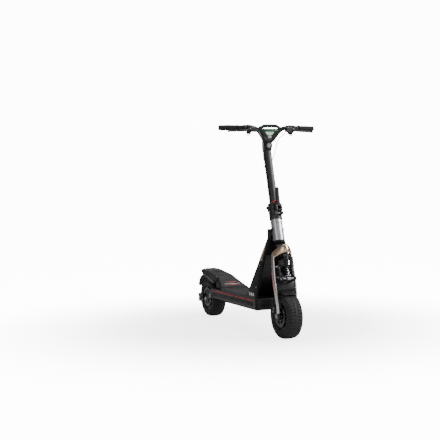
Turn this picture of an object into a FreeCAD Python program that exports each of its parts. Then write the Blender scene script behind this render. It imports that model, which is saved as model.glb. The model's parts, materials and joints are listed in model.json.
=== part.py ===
import FreeCAD, Part
import Sketcher
import math
import os

# Electric kick scooter. Millimetres, +Z up, forward is -Y, the rider's right is -X.
# The origin is on the ground, on the centre plane, midway between the ends.

document = FreeCAD.newDocument("kick_scooter")
sheet = document.addObject("Spreadsheet::Sheet", "sizes")

SIZES = {
    # wheels
    "wheel_radius": 141, "tyre_width": 96, "rim_radius": 89, "rim_width": 84,
    "hub_width": 70, "hub_face_radius": 84, "axle_radius": 7, "running_gap": 0.05,
    "disc_radius": 70, "disc_bore": 22, "disc_thickness": 3, "disc_inner_face": 43,
    "front_axle_back": -601.5, "rear_axle_back": 561,
    # steering axis
    "rake": 15, "axis_back": -509.3, "axis_height": 600,
    "head_tube_radius": 36.5, "head_tube_bottom": -9, "head_tube_top": 124,
    "bearing_radius": 30, "bearing_height": 14, "steerer_radius": 17,
    # frame and deck
    "deck_half_width": 114, "rail_thickness": 16, "rail_bottom": 165, "rail_top": 228,
    "rail_front": -398, "rail_back": 345, "deck_plate_thickness": 3, "mat_thickness": 3,
    "deck_front": -330, "deck_back": 148, "beam_foot_back": -262, "neck_web_thickness": 8,
    "case_bottom": 152, "case_back": 130, "case_wall": 6,
    "light_height": 5, "light_bottom": 212, "light_front": -367, "light_back": 296,
    "footrest_low": 236, "footrest_high": 312, "footrest_front": 150, "footrest_back": 345,
    "footrest_front_half": 110, "footrest_back_half": 62, "footrest_wall": 6,
    "handle_thickness": 20, "handle_half_width": 72, "handle_back": 633, "handle_top": 341,
    "fender_half_width": 50, "fender_clearance": 8,
    "guard_thickness": 3, "guard_half_width": 52, "guard_tip_back": 742.5, "guard_tip_height": 207,
    # front suspension, in steered coordinates
    "knuckle_width": 52, "knuckle_top": -24, "knuckle_bottom": -245, "knuckle_back": 64,
    "shock_top": -119, "shock_eye": -255, "spring_low": -237, "spring_high": -128.5,
    "link_length": 84, "link_slope": 13.5, "link_root_back": 52, "upper_root": -155.4,
    "lower_root": -220.4, "pin_radius": 5, "arm_inner": 28, "arm_outer": 37, "arm_boss_radius": 10,
    "bolt_radius": 4,
    "shock_forward": 62, "shock_radius": 12, "shock_seat_radius": 20, "rod_radius": 6,
    "fork_plate_inner": 38, "fork_plate_outer": 47, "fork_plate_root": 66,
    # folding stem
    "collar_radius": 40, "collar_bottom": 124.5, "collar_top": 212, "fold_back": 52,
    "fold_height": 213, "knuckle_radius": 11, "stem_radius": 25, "stem_wall": 4,
    "stem_top": 590, "lever_forward": 50, "lever_height": 156, "latch_half": 18.5, "latch_arm_width": 19,
    "lamp_back": -374, "lamp_height": 1184, "lamp_radius": 20, "lens_radius": 16,
    # handlebar
    "bar_radius": 12, "arch_radius": 11.5, "grip_radius": 17, "bar_half_width": 325, "bar_end_back": -361,
    "lever_reach": 171, "lever_droop": 25, "display_tilt": 17, "display_back": -383, "display_foot": 1223,
    "display_thickness": 14, "grip_start": 96, "hose_radius": 3,
    # rear suspension
    "pivot_back": 330, "pivot_height": 178, "pivot_radius": 8, "lug_height": 240,
    "lug_back": 334, "rear_mount_back": 215, "arm_inside": 62, "arm_thickness": 20,
    "arm_tube_radius": 17, "nut_radius": 14, "spring_seat_radius": 15,
    # kickstand
    "stand_leg_radius": 8, "stand_foot_radius": 19, "stand_boss_radius": 13,
}

for row, (alias, number) in enumerate(SIZES.items(), start=1):
    sheet.set(f"A{row}", alias)
    sheet.set(f"B{row}", str(number))
    sheet.setAlias(f"B{row}", alias)
document.recompute()

NAMES = sorted(SIZES, key=len, reverse=True)
STEERED = FreeCAD.Placement(
    FreeCAD.Vector(0, SIZES["axis_back"], SIZES["axis_height"]),
    FreeCAD.Rotation(FreeCAD.Vector(1, 0, 0), -SIZES["rake"]),
)
ALONG_X = FreeCAD.Rotation(FreeCAD.Vector(0, 1, 0), 90)
ALONG_Y = FreeCAD.Rotation(FreeCAD.Vector(1, 0, 0), 90)
PIECES = []
LOOSE = ("Part::Feature", "Part::Box", "Part::Cylinder")  # shapes whose own placement is already in use


def size(alias):
    return float(sheet.get(alias))


def bound(text):
    """An expression in which each size's name becomes a reference to its cell."""
    words = []
    word = ""
    for letter in str(text) + " ":
        if letter.isalpha() or letter == "_":
            word += letter
            continue
        words.append("sizes." + word if word in NAMES else word)
        words.append(letter)
        word = ""
    return "".join(words).strip()


def bind(item, **expressions):
    for name, text in expressions.items():
        item.setExpression(name, bound(text))


def place(item, at, rotation=None):
    item.Placement = FreeCAD.Placement(FreeCAD.Vector(0, 0, 0), rotation or FreeCAD.Rotation())
    for letter, text in zip("xyz", at):
        item.setExpression(f".Placement.Base.{letter}", bound(text))
    return item


def block(lengths, corner):
    """A box: its three lengths, and the corner nearest to minus infinity."""
    item = document.addObject("Part::Box", "block")
    bind(item, Length=lengths[0], Width=lengths[1], Height=lengths[2])
    return place(item, corner)


def round_bar(radius, length, start, rotation=None):
    item = document.addObject("Part::Cylinder", "round_bar")
    bind(item, Radius=radius, Height=length)
    return place(item, start, rotation)


def cross_bar(radius, start_x, length, back, height):
    """A round bar along X."""
    return round_bar(radius, length, (start_x, back, height), ALONG_X)


def taper(radius_low, radius_high, length, start):
    item = document.addObject("Part::Cone", "taper")
    bind(item, Radius1=radius_low, Radius2=radius_high, Height=length)
    return place(item, start)


def fuse(*items):
    item = document.addObject("Part::MultiFuse", "fuse")
    item.Shapes = list(items)
    return item


def cut(base, *tools):
    item = document.addObject("Part::Cut", "cut")
    item.Base = base
    item.Tool = tools[0] if len(tools) == 1 else fuse(*tools)
    return item


def mirror_x(item):
    twin = document.addObject("Part::Mirroring", "twin")
    twin.Source = item
    twin.Normal = FreeCAD.Vector(1, 0, 0)
    return twin


def group(*items):
    """Separate solids kept together as one piece."""
    item = document.addObject("Part::Compound", "group")
    item.Links = list(items)
    return item


def outline_sketch(body, plane, corners):
    """A closed sketch whose corners are bound to the sheet, on one of the body's own planes."""
    sketch = body.newObject("Sketcher::SketchObject", "outline")
    support = [f for f in body.Origin.OriginFeatures if f.Role == plane][0]
    sketch.AttachmentSupport = [(support, "")]
    sketch.MapMode = "FlatFace"
    count = len(corners)
    for number in range(count):
        start = FreeCAD.Vector(number, number * number, 0)
        end = FreeCAD.Vector(number + 1, (number + 1) ** 2, 0)
        sketch.addGeometry(Part.LineSegment(start, end), False)
    for number in range(count):
        sketch.addConstraint(Sketcher.Constraint("Coincident", number, 2, (number + 1) % count, 1))
    for number, (across, up) in enumerate(corners):
        for kind, text in (("DistanceX", across), ("DistanceY", up)):
            index = sketch.addConstraint(Sketcher.Constraint(kind, -1, 1, number, 1, 1.0))
            sketch.setExpression(f"Constraints[{index}]", bound(text))
    return sketch


def plate(plane, corners, thickness, offset="0"):
    """A body padded from an outline. The offset moves it along the plane's normal."""
    body = document.addObject("PartDesign::Body", "plate")
    sketch = outline_sketch(body, plane, corners)
    bind(sketch, **{".AttachmentOffset.Base.z": offset})
    pad = body.newObject("PartDesign::Pad", "pad")
    pad.Profile = sketch
    bind(pad, Length=thickness)
    sketch.Visibility = False
    body.Tip = pad
    return body


def turned(corners):
    """A body turned about Z: each corner is a radius and a height."""
    body = document.addObject("PartDesign::Body", "turned")
    sketch = outline_sketch(body, "XZ_Plane", corners)
    spin = body.newObject("PartDesign::Revolution", "spin")
    spin.Profile = sketch
    spin.ReferenceAxis = (sketch, ["V_Axis"])
    spin.Angle = 360
    body.Tip = spin
    return body


def solid(shape):
    item = document.addObject("Part::Feature", "solid")
    item.Shape = shape
    return item


def rectangle(axis, at, first, second):
    """A rectangular wire across an axis, between the low and high values on the other two axes."""
    low_a, high_a = first
    low_b, high_b = second
    corners = [(low_a, low_b), (high_a, low_b), (high_a, high_b), (low_a, high_b)]
    points = []
    for a, b in corners + corners[:1]:
        ordered = {"x": (at, a, b), "y": (a, at, b), "z": (a, b, at)}[axis]
        points.append(FreeCAD.Vector(*ordered))
    return Part.makePolygon(points)


def loft(axis, sections, ruled=True):
    wires = [rectangle(axis, *section) for section in sections]
    return solid(Part.makeLoft(wires, True, ruled))


def pipe(points, radius):
    """A round bar along a smooth curve through the points."""
    vectors = [FreeCAD.Vector(*p) for p in points]
    curve = Part.BSplineCurve()
    curve.interpolate(Points=vectors)
    heading = curve.tangent(curve.FirstParameter)[0]
    ring = Part.Wire([Part.makeCircle(radius, vectors[0], heading)])
    return Part.Wire([curve.toShape()]).makePipeShell([ring], True, False)


def piece(item, label, placement=None):
    """Names a finished piece, and places it where its own frame sits."""
    if placement:
        item = group(item) if item.TypeId in LOOSE else item
        item.Placement = placement
    item.Label = label
    PIECES.append(item)
    return item


def find(label):
    return [item for item in PIECES if item.Label == label][0]


# ---- kickstand, on the rider's left ----

STAND_PIVOT = FreeCAD.Vector(130, -150, 151)
STAND_FOOT = FreeCAD.Vector(175, -130, 0)
STAND_DOWN = STAND_FOOT - STAND_PIVOT
STAND_STOWED = FreeCAD.Vector(0.03, 1, 0.03)
STAND_AXIS = STAND_DOWN.cross(STAND_STOWED).normalize()


def stand_bar(radius, start, end):
    """A round bar on the kickstand's pivot axis, between two distances from the pivot."""
    return solid(Part.makeCylinder(radius, end - start, STAND_PIVOT + STAND_AXIS * start, STAND_AXIS))


def stand_bore(gap):
    return stand_bar(size("pin_radius") + gap, -30, 30)


def stand_bracket():
    root = block(("16", "44", "24"), ("deck_half_width - rail_thickness", "-172", "rail_bottom - 24"))
    return fuse(root, stand_bar(12, -24, -8.2))


def stand_pin():
    return fuse(stand_bar(size("pin_radius"), -24, 12), stand_bar(9, 8.2, 12))


def kickstand():
    leg = Part.makeCylinder(size("stand_leg_radius"), STAND_DOWN.Length * 0.97, STAND_PIVOT, STAND_DOWN)
    foot = Part.makeCone(size("stand_foot_radius"), 12, 16, STAND_FOOT)
    boss = stand_bar(size("stand_boss_radius"), -8, 8).Shape.copy()
    hole = stand_bore(size("running_gap")).Shape.copy()
    return piece(solid(leg.fuse([boss, foot]).cut(hole)), "kickstand_leg")


# ---- frame: rails, head tube, deck ----

def beam():
    """The left beam from the deck to the neck. Each section: height, span across, front and back."""
    outer = size("deck_half_width")
    across = (outer - size("rail_thickness"), outer)
    foot = (size("rail_top"), across, (size("rail_front"), size("beam_foot_back")))
    return loft("z", [
        foot,
        (500, (71, 85), (-478, -431)),
        (600, (42, 55), (-484, -456)),
        (640, (36, 45), (-493, -470)),
        (668, (32, 39.5), (-506, -484)),
    ])


def neck_web():
    """The thin plate that closes the gap between the two beams, along their back edges."""
    thick = size("neck_web_thickness")
    edges = [(size("rail_top") + size("deck_plate_thickness"), 99, -274), (500, 72, -443), (600, 43, -471),
             (614, 38, -474)]
    return loft("z", [(up, (-half, half), (front, front + thick)) for up, half, front in edges])


def frame_rails():
    side = plate(
        "YZ_Plane",
        [("rail_front", "rail_bottom"), ("pivot_back - 20", "rail_bottom"), ("rail_back", "rail_bottom + 8"),
         ("rail_back", "rail_top - 22"), ("pivot_back - 20", "rail_top"), ("rail_front", "rail_top")],
        "rail_thickness", "deck_half_width - rail_thickness",
    )
    left = fuse(side, beam())
    bridge = block(("2 * deck_half_width - 2 * rail_thickness", "8", "60"),
                   ("rail_thickness - deck_half_width", "298", "rail_bottom"))
    gusset = block(("92", "34", "52"), ("-46", "-480", "612"))
    tray = block(("72", "111", "4"), ("-36", "rear_mount_back - 20", "205"))
    ears = [block(("7", "22", "lug_height - 195"), (start, "rear_mount_back - 11", "205"))
            for start in ("-20", "13")]
    both = fuse(left, mirror_x(left), neck_web(), bridge, gusset, tray, *ears, stand_bracket())
    bore = cross_bar("pivot_radius", "-deck_half_width - 1", "2 * deck_half_width + 2",
                     "pivot_back", "pivot_height")
    clear = group(round_bar("head_tube_radius", "head_tube_top - head_tube_bottom",
                            ("0", "0", "head_tube_bottom")))
    clear.Placement = STEERED
    eye = cross_bar("pin_radius", "-22", "44", "rear_mount_back", "lug_height")
    return piece(cut(both, bore, eye, clear, stand_bore(0)), "frame_rails")


def head_tube():
    height = "head_tube_top - head_tube_bottom"
    shell = round_bar("head_tube_radius", height, ("0", "0", "head_tube_bottom"))
    bore = round_bar("bearing_radius", height, ("0", "0", "head_tube_bottom"))
    bolts = [round_bar("bolt_radius", "3", ("0", "1 - head_tube_radius", at), ALONG_Y) for at in ("22", "98")]
    return piece(cut(fuse(shell, *bolts), bore), "head_tube", STEERED)


def headset_bearings():
    rings = []
    for bottom in ("head_tube_bottom", "head_tube_top - bearing_height"):
        ring = round_bar("bearing_radius", "bearing_height", ("0", "0", bottom))
        bore = round_bar("steerer_radius + running_gap", "bearing_height", ("0", "0", bottom))
        rings.append(cut(ring, bore))
    return piece(group(*rings), "headset_bearings", STEERED)


def battery_case():
    profile = [("rail_front", "case_bottom + 20"), ("rail_front + 16", "case_bottom"),
               ("case_back", "case_bottom"), ("case_back + 20", "case_bottom + 16"),
               ("298", "case_bottom + 16"), ("298", "205"), ("case_back + 22", "205"),
               ("case_back + 22", "rail_top"), ("rail_front", "rail_top")]
    width = "2 * deck_half_width - 2 * rail_thickness"
    outer = plate("YZ_Plane", profile, width, "rail_thickness - deck_half_width")
    room = block(("184", "case_back - rail_front - 32", "80"),
                 ("-92", "rail_front + 16", "case_bottom + case_wall"))
    drawer = block(("180", "134", "24"), ("-90", "158", "case_bottom + 22"))
    return piece(cut(outer, room, drawer), "battery_case")


def deck_parts():
    piece(block(("176", "480", "54"), ("-88", "-376", "case_bottom + case_wall")), "battery_pack")
    piece(block(("160", "120", "20"), ("-80", "165", "case_bottom + 22")), "motor_controller")
    half = "deck_half_width"
    neck = "deck_half_width - rail_thickness - 1"
    plan = [(half, "deck_back"), (half, "beam_foot_back"), (neck, "beam_foot_back"), (neck, "deck_front"),
            (f"-({neck})", "deck_front"), (f"-({neck})", "beam_foot_back"),
            (f"-({half})", "beam_foot_back"), (f"-({half})", "deck_back")]
    piece(plate("XY_Plane", plan, "deck_plate_thickness", "rail_top"), "deck_plate")
    piece(block(("200", "deck_back - beam_foot_back - 8", "mat_thickness"),
                ("-100", "beam_foot_back + 4", "rail_top + deck_plate_thickness")), "deck_mat")
    light = block(("2", "light_back - light_front", "light_height"),
                  ("deck_half_width", "light_front", "light_bottom"))
    piece(group(light, mirror_x(light)), "side_lights")


def footrest():
    def wedge(inset, drop, reach):
        front, back = size("footrest_front"), size("footrest_back")
        low, high = size("footrest_low"), size("footrest_high")
        slope = (high - low) / (back - front)
        wide, narrow = size("footrest_front_half") - inset, size("footrest_back_half") - inset
        narrowing = (wide - narrow) / (back - front)
        floor = size("rail_top") - drop
        return loft("y", [
            (front - reach, (-wide - narrowing * reach, wide + narrowing * reach),
             (floor, low - drop - slope * reach)),
            (back + reach, (-narrow + narrowing * reach, narrow - narrowing * reach),
             (floor, high - drop + slope * reach)),
        ])
    wall = size("footrest_wall")
    shell = cut(wedge(0, 0, 0), wedge(wall, wall, 1))
    piece(shell, "rear_footrest")
    slope = (size("footrest_high") - size("footrest_low")) / (size("footrest_back") - size("footrest_front"))
    sections = []
    for back, half in ((172, 94), (336, 56)):
        surface = size("footrest_low") + slope * (back - size("footrest_front"))
        sections.append((back, (-half, half), (surface, surface + size("mat_thickness"))))
    piece(loft("y", sections), "footrest_pad")


def tail():
    half = "handle_half_width"
    outer = [(half, "346"), (half, "handle_back - 34"), ("handle_half_width - 16", "handle_back"),
             ("16 - handle_half_width", "handle_back"), ("-handle_half_width", "handle_back - 34"),
             ("-handle_half_width", "346")]
    inner = [("54", "372"), ("54", "handle_back - 40"), ("44", "handle_back - 28"),
             ("-44", "handle_back - 28"),
             ("-54", "handle_back - 40"), ("-54", "372")]
    slab = plate("XY_Plane", outer, "handle_thickness")
    window = plate("XY_Plane", inner, "handle_thickness")
    tilt = math.degrees(math.atan2(34, size("handle_back") - 346))
    turn = FreeCAD.Rotation(FreeCAD.Vector(1, 0, 0), tilt)
    high = size("handle_top") - size("handle_thickness") * math.cos(math.radians(tilt))
    rise = FreeCAD.Vector(0, 0, high) - turn.multVec(FreeCAD.Vector(0, size("handle_back"), 0))
    rise.x = 0
    handle = piece(cut(slab, window), "tail_handle", FreeCAD.Placement(rise, turn))
    document.recompute()
    trim = size("footrest_back") + 0.2 - handle.Shape.BoundBox.YMin
    handle.Placement.Base.y += max(0.0, trim)
    edge = handle.Shape.BoundBox.YMax + 1
    piece(block(("60", "6", "12"), ("-30", str(edge), "handle_top - 18")), "tail_light")


def rear_mudguard():
    top = [(450, 290), (520, 310), (590, 312), (650, 289), (size("guard_tip_back"), size("guard_tip_height"))]
    thick = size("guard_thickness")
    points = [FreeCAD.Vector(0, y, z) for y, z in top]
    points += [FreeCAD.Vector(0, y - 0.6 * thick, z - thick) for y, z in reversed(top)]
    face = Part.Face(Part.makePolygon(points + points[:1]))
    half = size("guard_half_width")
    shape = face.extrude(FreeCAD.Vector(2 * half, 0, 0))
    shape.translate(FreeCAD.Vector(-half, 0, 0))
    return piece(solid(shape), "rear_mudguard")


def rear_mounts():
    bolt = cross_bar("pivot_radius", "-deck_half_width - 6", "2 * deck_half_width + 12",
                     "pivot_back", "pivot_height")
    heads = [cross_bar("13", start, "6", "pivot_back", "pivot_height")
             for start in ("deck_half_width", "-deck_half_width - 6")]
    pin = cross_bar("pin_radius", "-21", "42", "rear_mount_back", "lug_height")
    piece(group(fuse(bolt, *heads), pin, stand_pin()), "frame_pins")
    eye = cross_bar("9", "-12.5", "25", "rear_mount_back", "lug_height")
    tube = round_bar("shock_radius - 1", "62", ("0", "rear_mount_back + 68", "lug_height"), ALONG_Y)
    seat = round_bar("spring_seat_radius", "5", ("0", "rear_mount_back + 16", "lug_height"), ALONG_Y)
    bore = round_bar("rod_radius - 1 + running_gap", "44", ("0", "rear_mount_back + 70", "lug_height"), ALONG_Y)
    pin_room = cross_bar("pin_radius", "-22", "44", "rear_mount_back", "lug_height")
    piece(cut(fuse(tube, eye, seat), bore, pin_room), "rear_shock_body")


# ---- steered parts, in steered coordinates: forward is -Y, up the steering axis is +Z ----

def steerer():
    tube = round_bar("steerer_radius", "collar_top - 8 - knuckle_top", ("0", "0", "knuckle_top"))
    ring = round_bar("head_tube_radius - 2.5", "12.6", ("0", "0", "knuckle_top + 2"))
    piece(fuse(tube, ring), "steerer_tube", STEERED)
    profile = [("0", "knuckle_top"), ("knuckle_back - 26", "knuckle_top"),
               ("knuckle_back", "knuckle_top - 38"),
               ("knuckle_back", "knuckle_bottom"), ("0", "knuckle_bottom")]
    post = plate("YZ_Plane", profile, "knuckle_width", "-knuckle_width / 2")
    arm = block(("40", "shock_forward + 12", "14"), ("-20", "-shock_forward - 12", "shock_top"))
    nose = block(("knuckle_width", "22", "80"), ("-knuckle_width / 2", "-18", "shock_top"))
    socket = round_bar("steerer_radius", "10", ("0", "0", "knuckle_top"))
    pins = [cross_bar("pin_radius", "-41", "82", "link_root_back", at) for at in ("upper_root", "lower_root")]
    piece(cut(fuse(post, arm, nose), socket, *pins), "steering_knuckle", STEERED)


def fold_collar():
    drum = round_bar("collar_radius", "collar_top - collar_bottom", ("0", "0", "collar_bottom"))
    lugs = []
    for start in ("-24", "12"):
        web = block(("12", "fold_back - 30", "28"), (start, "30", "fold_height - 28"))
        lugs += [web, cross_bar("knuckle_radius", start, "12", "fold_back", "fold_height")]
    ears = []
    for start in ("-25.5", "19.5"):
        ears.append(block(("6", "28", "22"), (start, "-lever_forward - 8", "lever_height - 11")))
    bolts = [round_bar("bolt_radius", "4", ("-22", "-33", at), ALONG_Y) for at in ("140", "196")]
    holes = [round_bar("steerer_radius", "collar_top - 8", ("0", "0", "0")),
             cross_bar("pin_radius", "-30", "60", "fold_back", "fold_height"),
             cross_bar("bolt_radius", "-30", "60", "-lever_forward", "lever_height"),
             block(("24", "26", "12.2"), ("-12", "fold_back - 13", "fold_height - 11.2"))]
    piece(cut(fuse(drum, *lugs, *ears, *bolts), *holes), "fold_collar", STEERED)
    pins = [cross_bar("pin_radius", "-27", "54", "fold_back", "fold_height"),
            cross_bar("bolt_radius", "-28", "56", "-lever_forward", "lever_height")]
    for at in ("upper_root", "lower_root"):
        pins.append(cross_bar("pin_radius", "-41", "82", "link_root_back", at))
    piece(group(*pins), "pivot_pins", STEERED)


def latch():
    profile = [("2 - lever_forward", "lever_height + 50"), ("-lever_forward - 8", "lever_height + 50"),
               ("-lever_forward - 14", "lever_height + 150"), ("-lever_forward - 20", "lever_height + 158"),
               ("-lever_forward - 12", "lever_height + 160"), ("-lever_forward - 5", "lever_height + 150")]
    arm = plate("YZ_Plane", profile, "latch_arm_width", "-latch_arm_width / 2")
    front = "-lever_forward - 8"
    cheeks = [block(("8", "16", "60"), (start, front, "lever_height - 6"))
              for start in ("-latch_half", "latch_half - 8")]
    bridge = block(("2 * latch_half", "10", "14"), ("-latch_half", front, "lever_height + 42"))
    hook = block(("2 * latch_half", "5", "10"), ("-latch_half", front, "lever_height + 14"))
    hole = cross_bar("bolt_radius + running_gap", "-30", "60", "-lever_forward", "lever_height")
    piece(cut(fuse(arm, *cheeks, bridge, hook), hole), "latch_lever", STEERED)
    tab = block(("18", "8", "14"), ("-23", "-collar_radius - 8.5", "222"))
    grip = block(("4", "12", "8"), ("-27", "-collar_radius - 8.5", "225"))
    piece(fuse(tab, grip), "safety_catch", STEERED)


def wishbone(label, root):
    """Two side arms joined by a cross tube. Returns the far pivot."""
    slope = math.radians(size("link_slope"))
    reach = size("link_length")
    across = FreeCAD.Vector(1, 0, 0)
    start = FreeCAD.Vector(0, size("link_root_back"), size(root))
    along = FreeCAD.Vector(0, -reach * math.cos(slope), -reach * math.sin(slope))
    inner, outer = size("arm_inner"), size("arm_outer")
    shapes = []
    for near in (inner, -outer):
        for centre in (start, start + along):
            boss_start = centre + across * near
            shapes.append(Part.makeCylinder(size("arm_boss_radius"), outer - inner, boss_start, across))
        bar = Part.makeBox(outer - inner, reach, 14, FreeCAD.Vector(near, 0, -7))
        bar.rotate(FreeCAD.Vector(0, 0, 0), across, 180 + math.degrees(slope))
        bar.translate(start)
        shapes.append(bar)
    tube_start = start + along * 0.80 - across * (inner + 1)
    shapes.append(Part.makeCylinder(6, 2 * inner + 2, tube_start, across))
    bore = size("pin_radius") + size("running_gap")
    holes = [Part.makeCylinder(bore, 90, centre - across * 45, across) for centre in (start, start + along)]
    piece(solid(shapes[0].fuse(shapes[1:]).cut(holes)), label, STEERED)
    return start + along


def front_shock():
    cap = round_bar("shock_seat_radius", "9", ("0", "-shock_forward", "-128"))
    tube = round_bar("shock_radius", "66", ("0", "-shock_forward", "-190"))
    bore = round_bar("rod_radius + running_gap", "56", ("0", "-shock_forward", "-190"))
    piece(cut(fuse(cap, tube), bore), "front_shock_body", STEERED)
    rod = round_bar("rod_radius", "67", ("0", "-shock_forward", "-243"))
    seat = round_bar("shock_seat_radius", "6", ("0", "-shock_forward", "-243"))
    eye = cross_bar("13", "-11", "22", "-shock_forward", "shock_eye")
    hole = cross_bar("pin_radius + 3", "-11", "22", "-shock_forward", "shock_eye")
    piece(cut(fuse(rod, seat, eye), hole), "front_shock_rod", STEERED)
    turns = coil(16.6, 2.6, size("spring_low"), size("spring_high"), 6.5)
    turns.translate(FreeCAD.Vector(0, -size("shock_forward"), 0))
    piece(solid(turns), "front_spring", STEERED)


def coil(radius, wire, low, high, turns):
    """A coil spring along Z between two seats."""
    height = high - low - 2 * wire - 0.4
    path = Part.makeHelix(height / turns, height, radius)
    ring = Part.Wire([Part.makeCircle(wire, FreeCAD.Vector(radius, 0, 0), FreeCAD.Vector(0, 1, 0))])
    shape = Part.Wire(path).makePipeShell([ring], True, True)
    shape.translate(FreeCAD.Vector(0, 0, low + wire + 0.2))
    return shape


def front_fork(tips):
    leg_sections = [
        (-88, (52, 65), (-24, 6)), (-120, (54, 67), (-22, 10)), (-200, (59, 72), (-20, 11)),
        (-300, (61, 73), (-18, 12)), (-370, (58, 70), (-12, 15)), (-430, (53, 65), (-2, 26)),
        (-450, (50, 61), (8, 40)), (-490, (50, 61), (14, 45)),
    ]
    leg = loft("z", leg_sections)
    arch = loft("x", [
        (64, (-24, 4), (-118, -84)), (44, (-56, -42), (-108, -62)), (14, (-88, -76), (-97, -47)),
        (0, (-92, -80), (-95, -43)), (-14, (-88, -76), (-97, -47)), (-44, (-56, -42), (-108, -62)),
        (-64, (-24, 4), (-118, -84)),
    ])
    width = "fork_plate_root - fork_plate_inner"
    nose = "-shock_forward - 13"
    profile = [("0", "-163"), ("-40", "-163"), ("-40", "-232"), (nose, "-243"), (nose, "-268"), ("0", "-268")]
    lug = plate("YZ_Plane", profile, width, "fork_plate_inner")
    relief = block(("30", "90", "120"), ("fork_plate_outer", "-104", "-275"))
    bridge = block((width, "16", "105"), ("fork_plate_inner", "-14", "-268"))
    half = fuse(leg, cut(lug, relief), bridge)
    pivots = [(str(round(tip.y, 6)), str(round(tip.z, 6))) for tip in tips]
    holes = [cross_bar("pin_radius", "-62", "124", *at) for at in pivots]
    holes.append(cross_bar("pin_radius", "-62", "124", "-shock_forward", "shock_eye"))
    axle_bore = cross_bar("axle_radius", "-90", "180", *AXLE_LOCAL)
    piece(cut(fuse(half, mirror_x(half), arch), *holes, axle_bore), "front_fork", STEERED)
    bolts = []
    for at in pivots:
        for start, head in (("24", "22"), ("-60", "-26")):
            bolts.append(fuse(cross_bar("pin_radius", start, "36", *at), cross_bar("8", head, "4", *at)))
    bolts.append(cross_bar("pin_radius", "-47", "94", "-shock_forward", "shock_eye"))
    piece(group(*bolts), "fork_bolts", STEERED)
    rod = cross_bar("axle_radius", "-72", "144", *AXLE_LOCAL)
    nuts = [cross_bar("nut_radius", start, "8", *AXLE_LOCAL) for start in ("61", "-69")]
    piece(fuse(rod, *nuts), "front_axle", STEERED)


def to_steered(back, up):
    point = STEERED.inverse().multVec(FreeCAD.Vector(0, back, up))
    return str(round(point.y, 6)), str(round(point.z, 6))


AXLE_LOCAL = to_steered(SIZES["front_axle_back"], SIZES["wheel_radius"])


# ---- wheels ----

def wheel(prefix, axle_back):
    axis = FreeCAD.Placement(FreeCAD.Vector(0, size(axle_back), size("wheel_radius")), ALONG_X)
    bore = "axle_radius + running_gap"
    hub = [(bore, "-disc_inner_face"), ("32", "-disc_inner_face"), ("32", "-hub_width / 2"),
           ("hub_face_radius", "-hub_width / 2"), ("hub_face_radius", "-rim_width / 2"),
           ("rim_radius", "-rim_width / 2"), ("rim_radius", "rim_width / 2"),
           ("hub_face_radius", "rim_width / 2"),
           ("hub_face_radius", "hub_width / 2"), ("32", "hub_width / 2"), ("28", "hub_width / 2 + 8"),
           (bore, "hub_width / 2 + 8")]
    tyre = [("rim_radius", "-rim_width / 2 + 2"), ("rim_radius + 4", "-tyre_width / 2 + 3"),
            ("rim_radius + 17", "-tyre_width / 2"), ("wheel_radius - 17", "-tyre_width / 2 + 2"),
            ("wheel_radius - 6", "-tyre_width / 2 + 14"), ("wheel_radius", "-tyre_width / 2 + 34"),
            ("wheel_radius", "tyre_width / 2 - 34"), ("wheel_radius - 6", "tyre_width / 2 - 14"),
            ("wheel_radius - 17", "tyre_width / 2 - 2"), ("rim_radius + 17", "tyre_width / 2"),
            ("rim_radius + 4", "tyre_width / 2 - 3"), ("rim_radius", "rim_width / 2 - 2")]
    far = "-disc_inner_face - disc_thickness"
    disc = [("disc_bore", far), ("disc_radius", far), ("disc_radius", "-disc_inner_face"),
            ("disc_bore", "-disc_inner_face")]
    piece(turned(tyre), prefix + "_tyre", axis)
    piece(turned(hub), prefix + "_hub_motor", axis)
    slots = []
    for turn in range(6):
        at = (f"cos({60 * turn}) * 48", f"sin({60 * turn}) * 48", "-disc_inner_face - disc_thickness - 1")
        slots.append(round_bar("6", "disc_thickness + 2", at))
    piece(cut(turned(disc), *slots), prefix + "_brake_disc", axis)


def caliper(label, axle_back, angle, outer):
    """A block over the disc's edge, turned about the axle."""
    body = block((outer, "40", "34"), (f"-({outer}) - 37", "-20", "46"))
    gap = "disc_thickness + 1"
    slot = block((gap, "42", "30"), ("-disc_inner_face - disc_thickness - 0.5", "-21", "45"))
    turn = FreeCAD.Rotation(FreeCAD.Vector(1, 0, 0), angle)
    at = FreeCAD.Placement(FreeCAD.Vector(0, size(axle_back), size("wheel_radius")), turn)
    return piece(cut(body, slot), label, at)


def front_fender():
    """An arc over the front tyre, held to the fork's legs by a tab on each side."""
    centre = FreeCAD.Vector(0, size("front_axle_back"), size("wheel_radius"))
    across = FreeCAD.Vector(1, 0, 0)
    half = size("fender_half_width")
    inside = size("wheel_radius") + size("fender_clearance")
    outside = inside + size("guard_thickness")
    side = centre - across * half
    ring = Part.makeCylinder(outside, 2 * half, side, across)
    wedge = [side]
    for degrees in (62, 90, 125):
        turn = math.radians(degrees)
        wedge.append(side + FreeCAD.Vector(0, -math.cos(turn), math.sin(turn)) * 2 * outside)
    sector = Part.Face(Part.makePolygon(wedge + wedge[:1])).extrude(across * 2 * half)
    tabs = [Part.makeBox(12, 24, 26, FreeCAD.Vector(x, centre.y + 8, centre.z + 138))
            for x in (half - 0.5, -half - 11.5)]
    arc = solid(ring.common(sector).fuse(tabs).removeSplitter())
    room = solid(Part.makeCylinder(inside, 3 * half, centre - across * 1.5 * half, across))
    piece(cut(arc, room, group(find("front_fork"))), "front_fender")


# ---- stem, handlebar and controls ----

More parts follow.
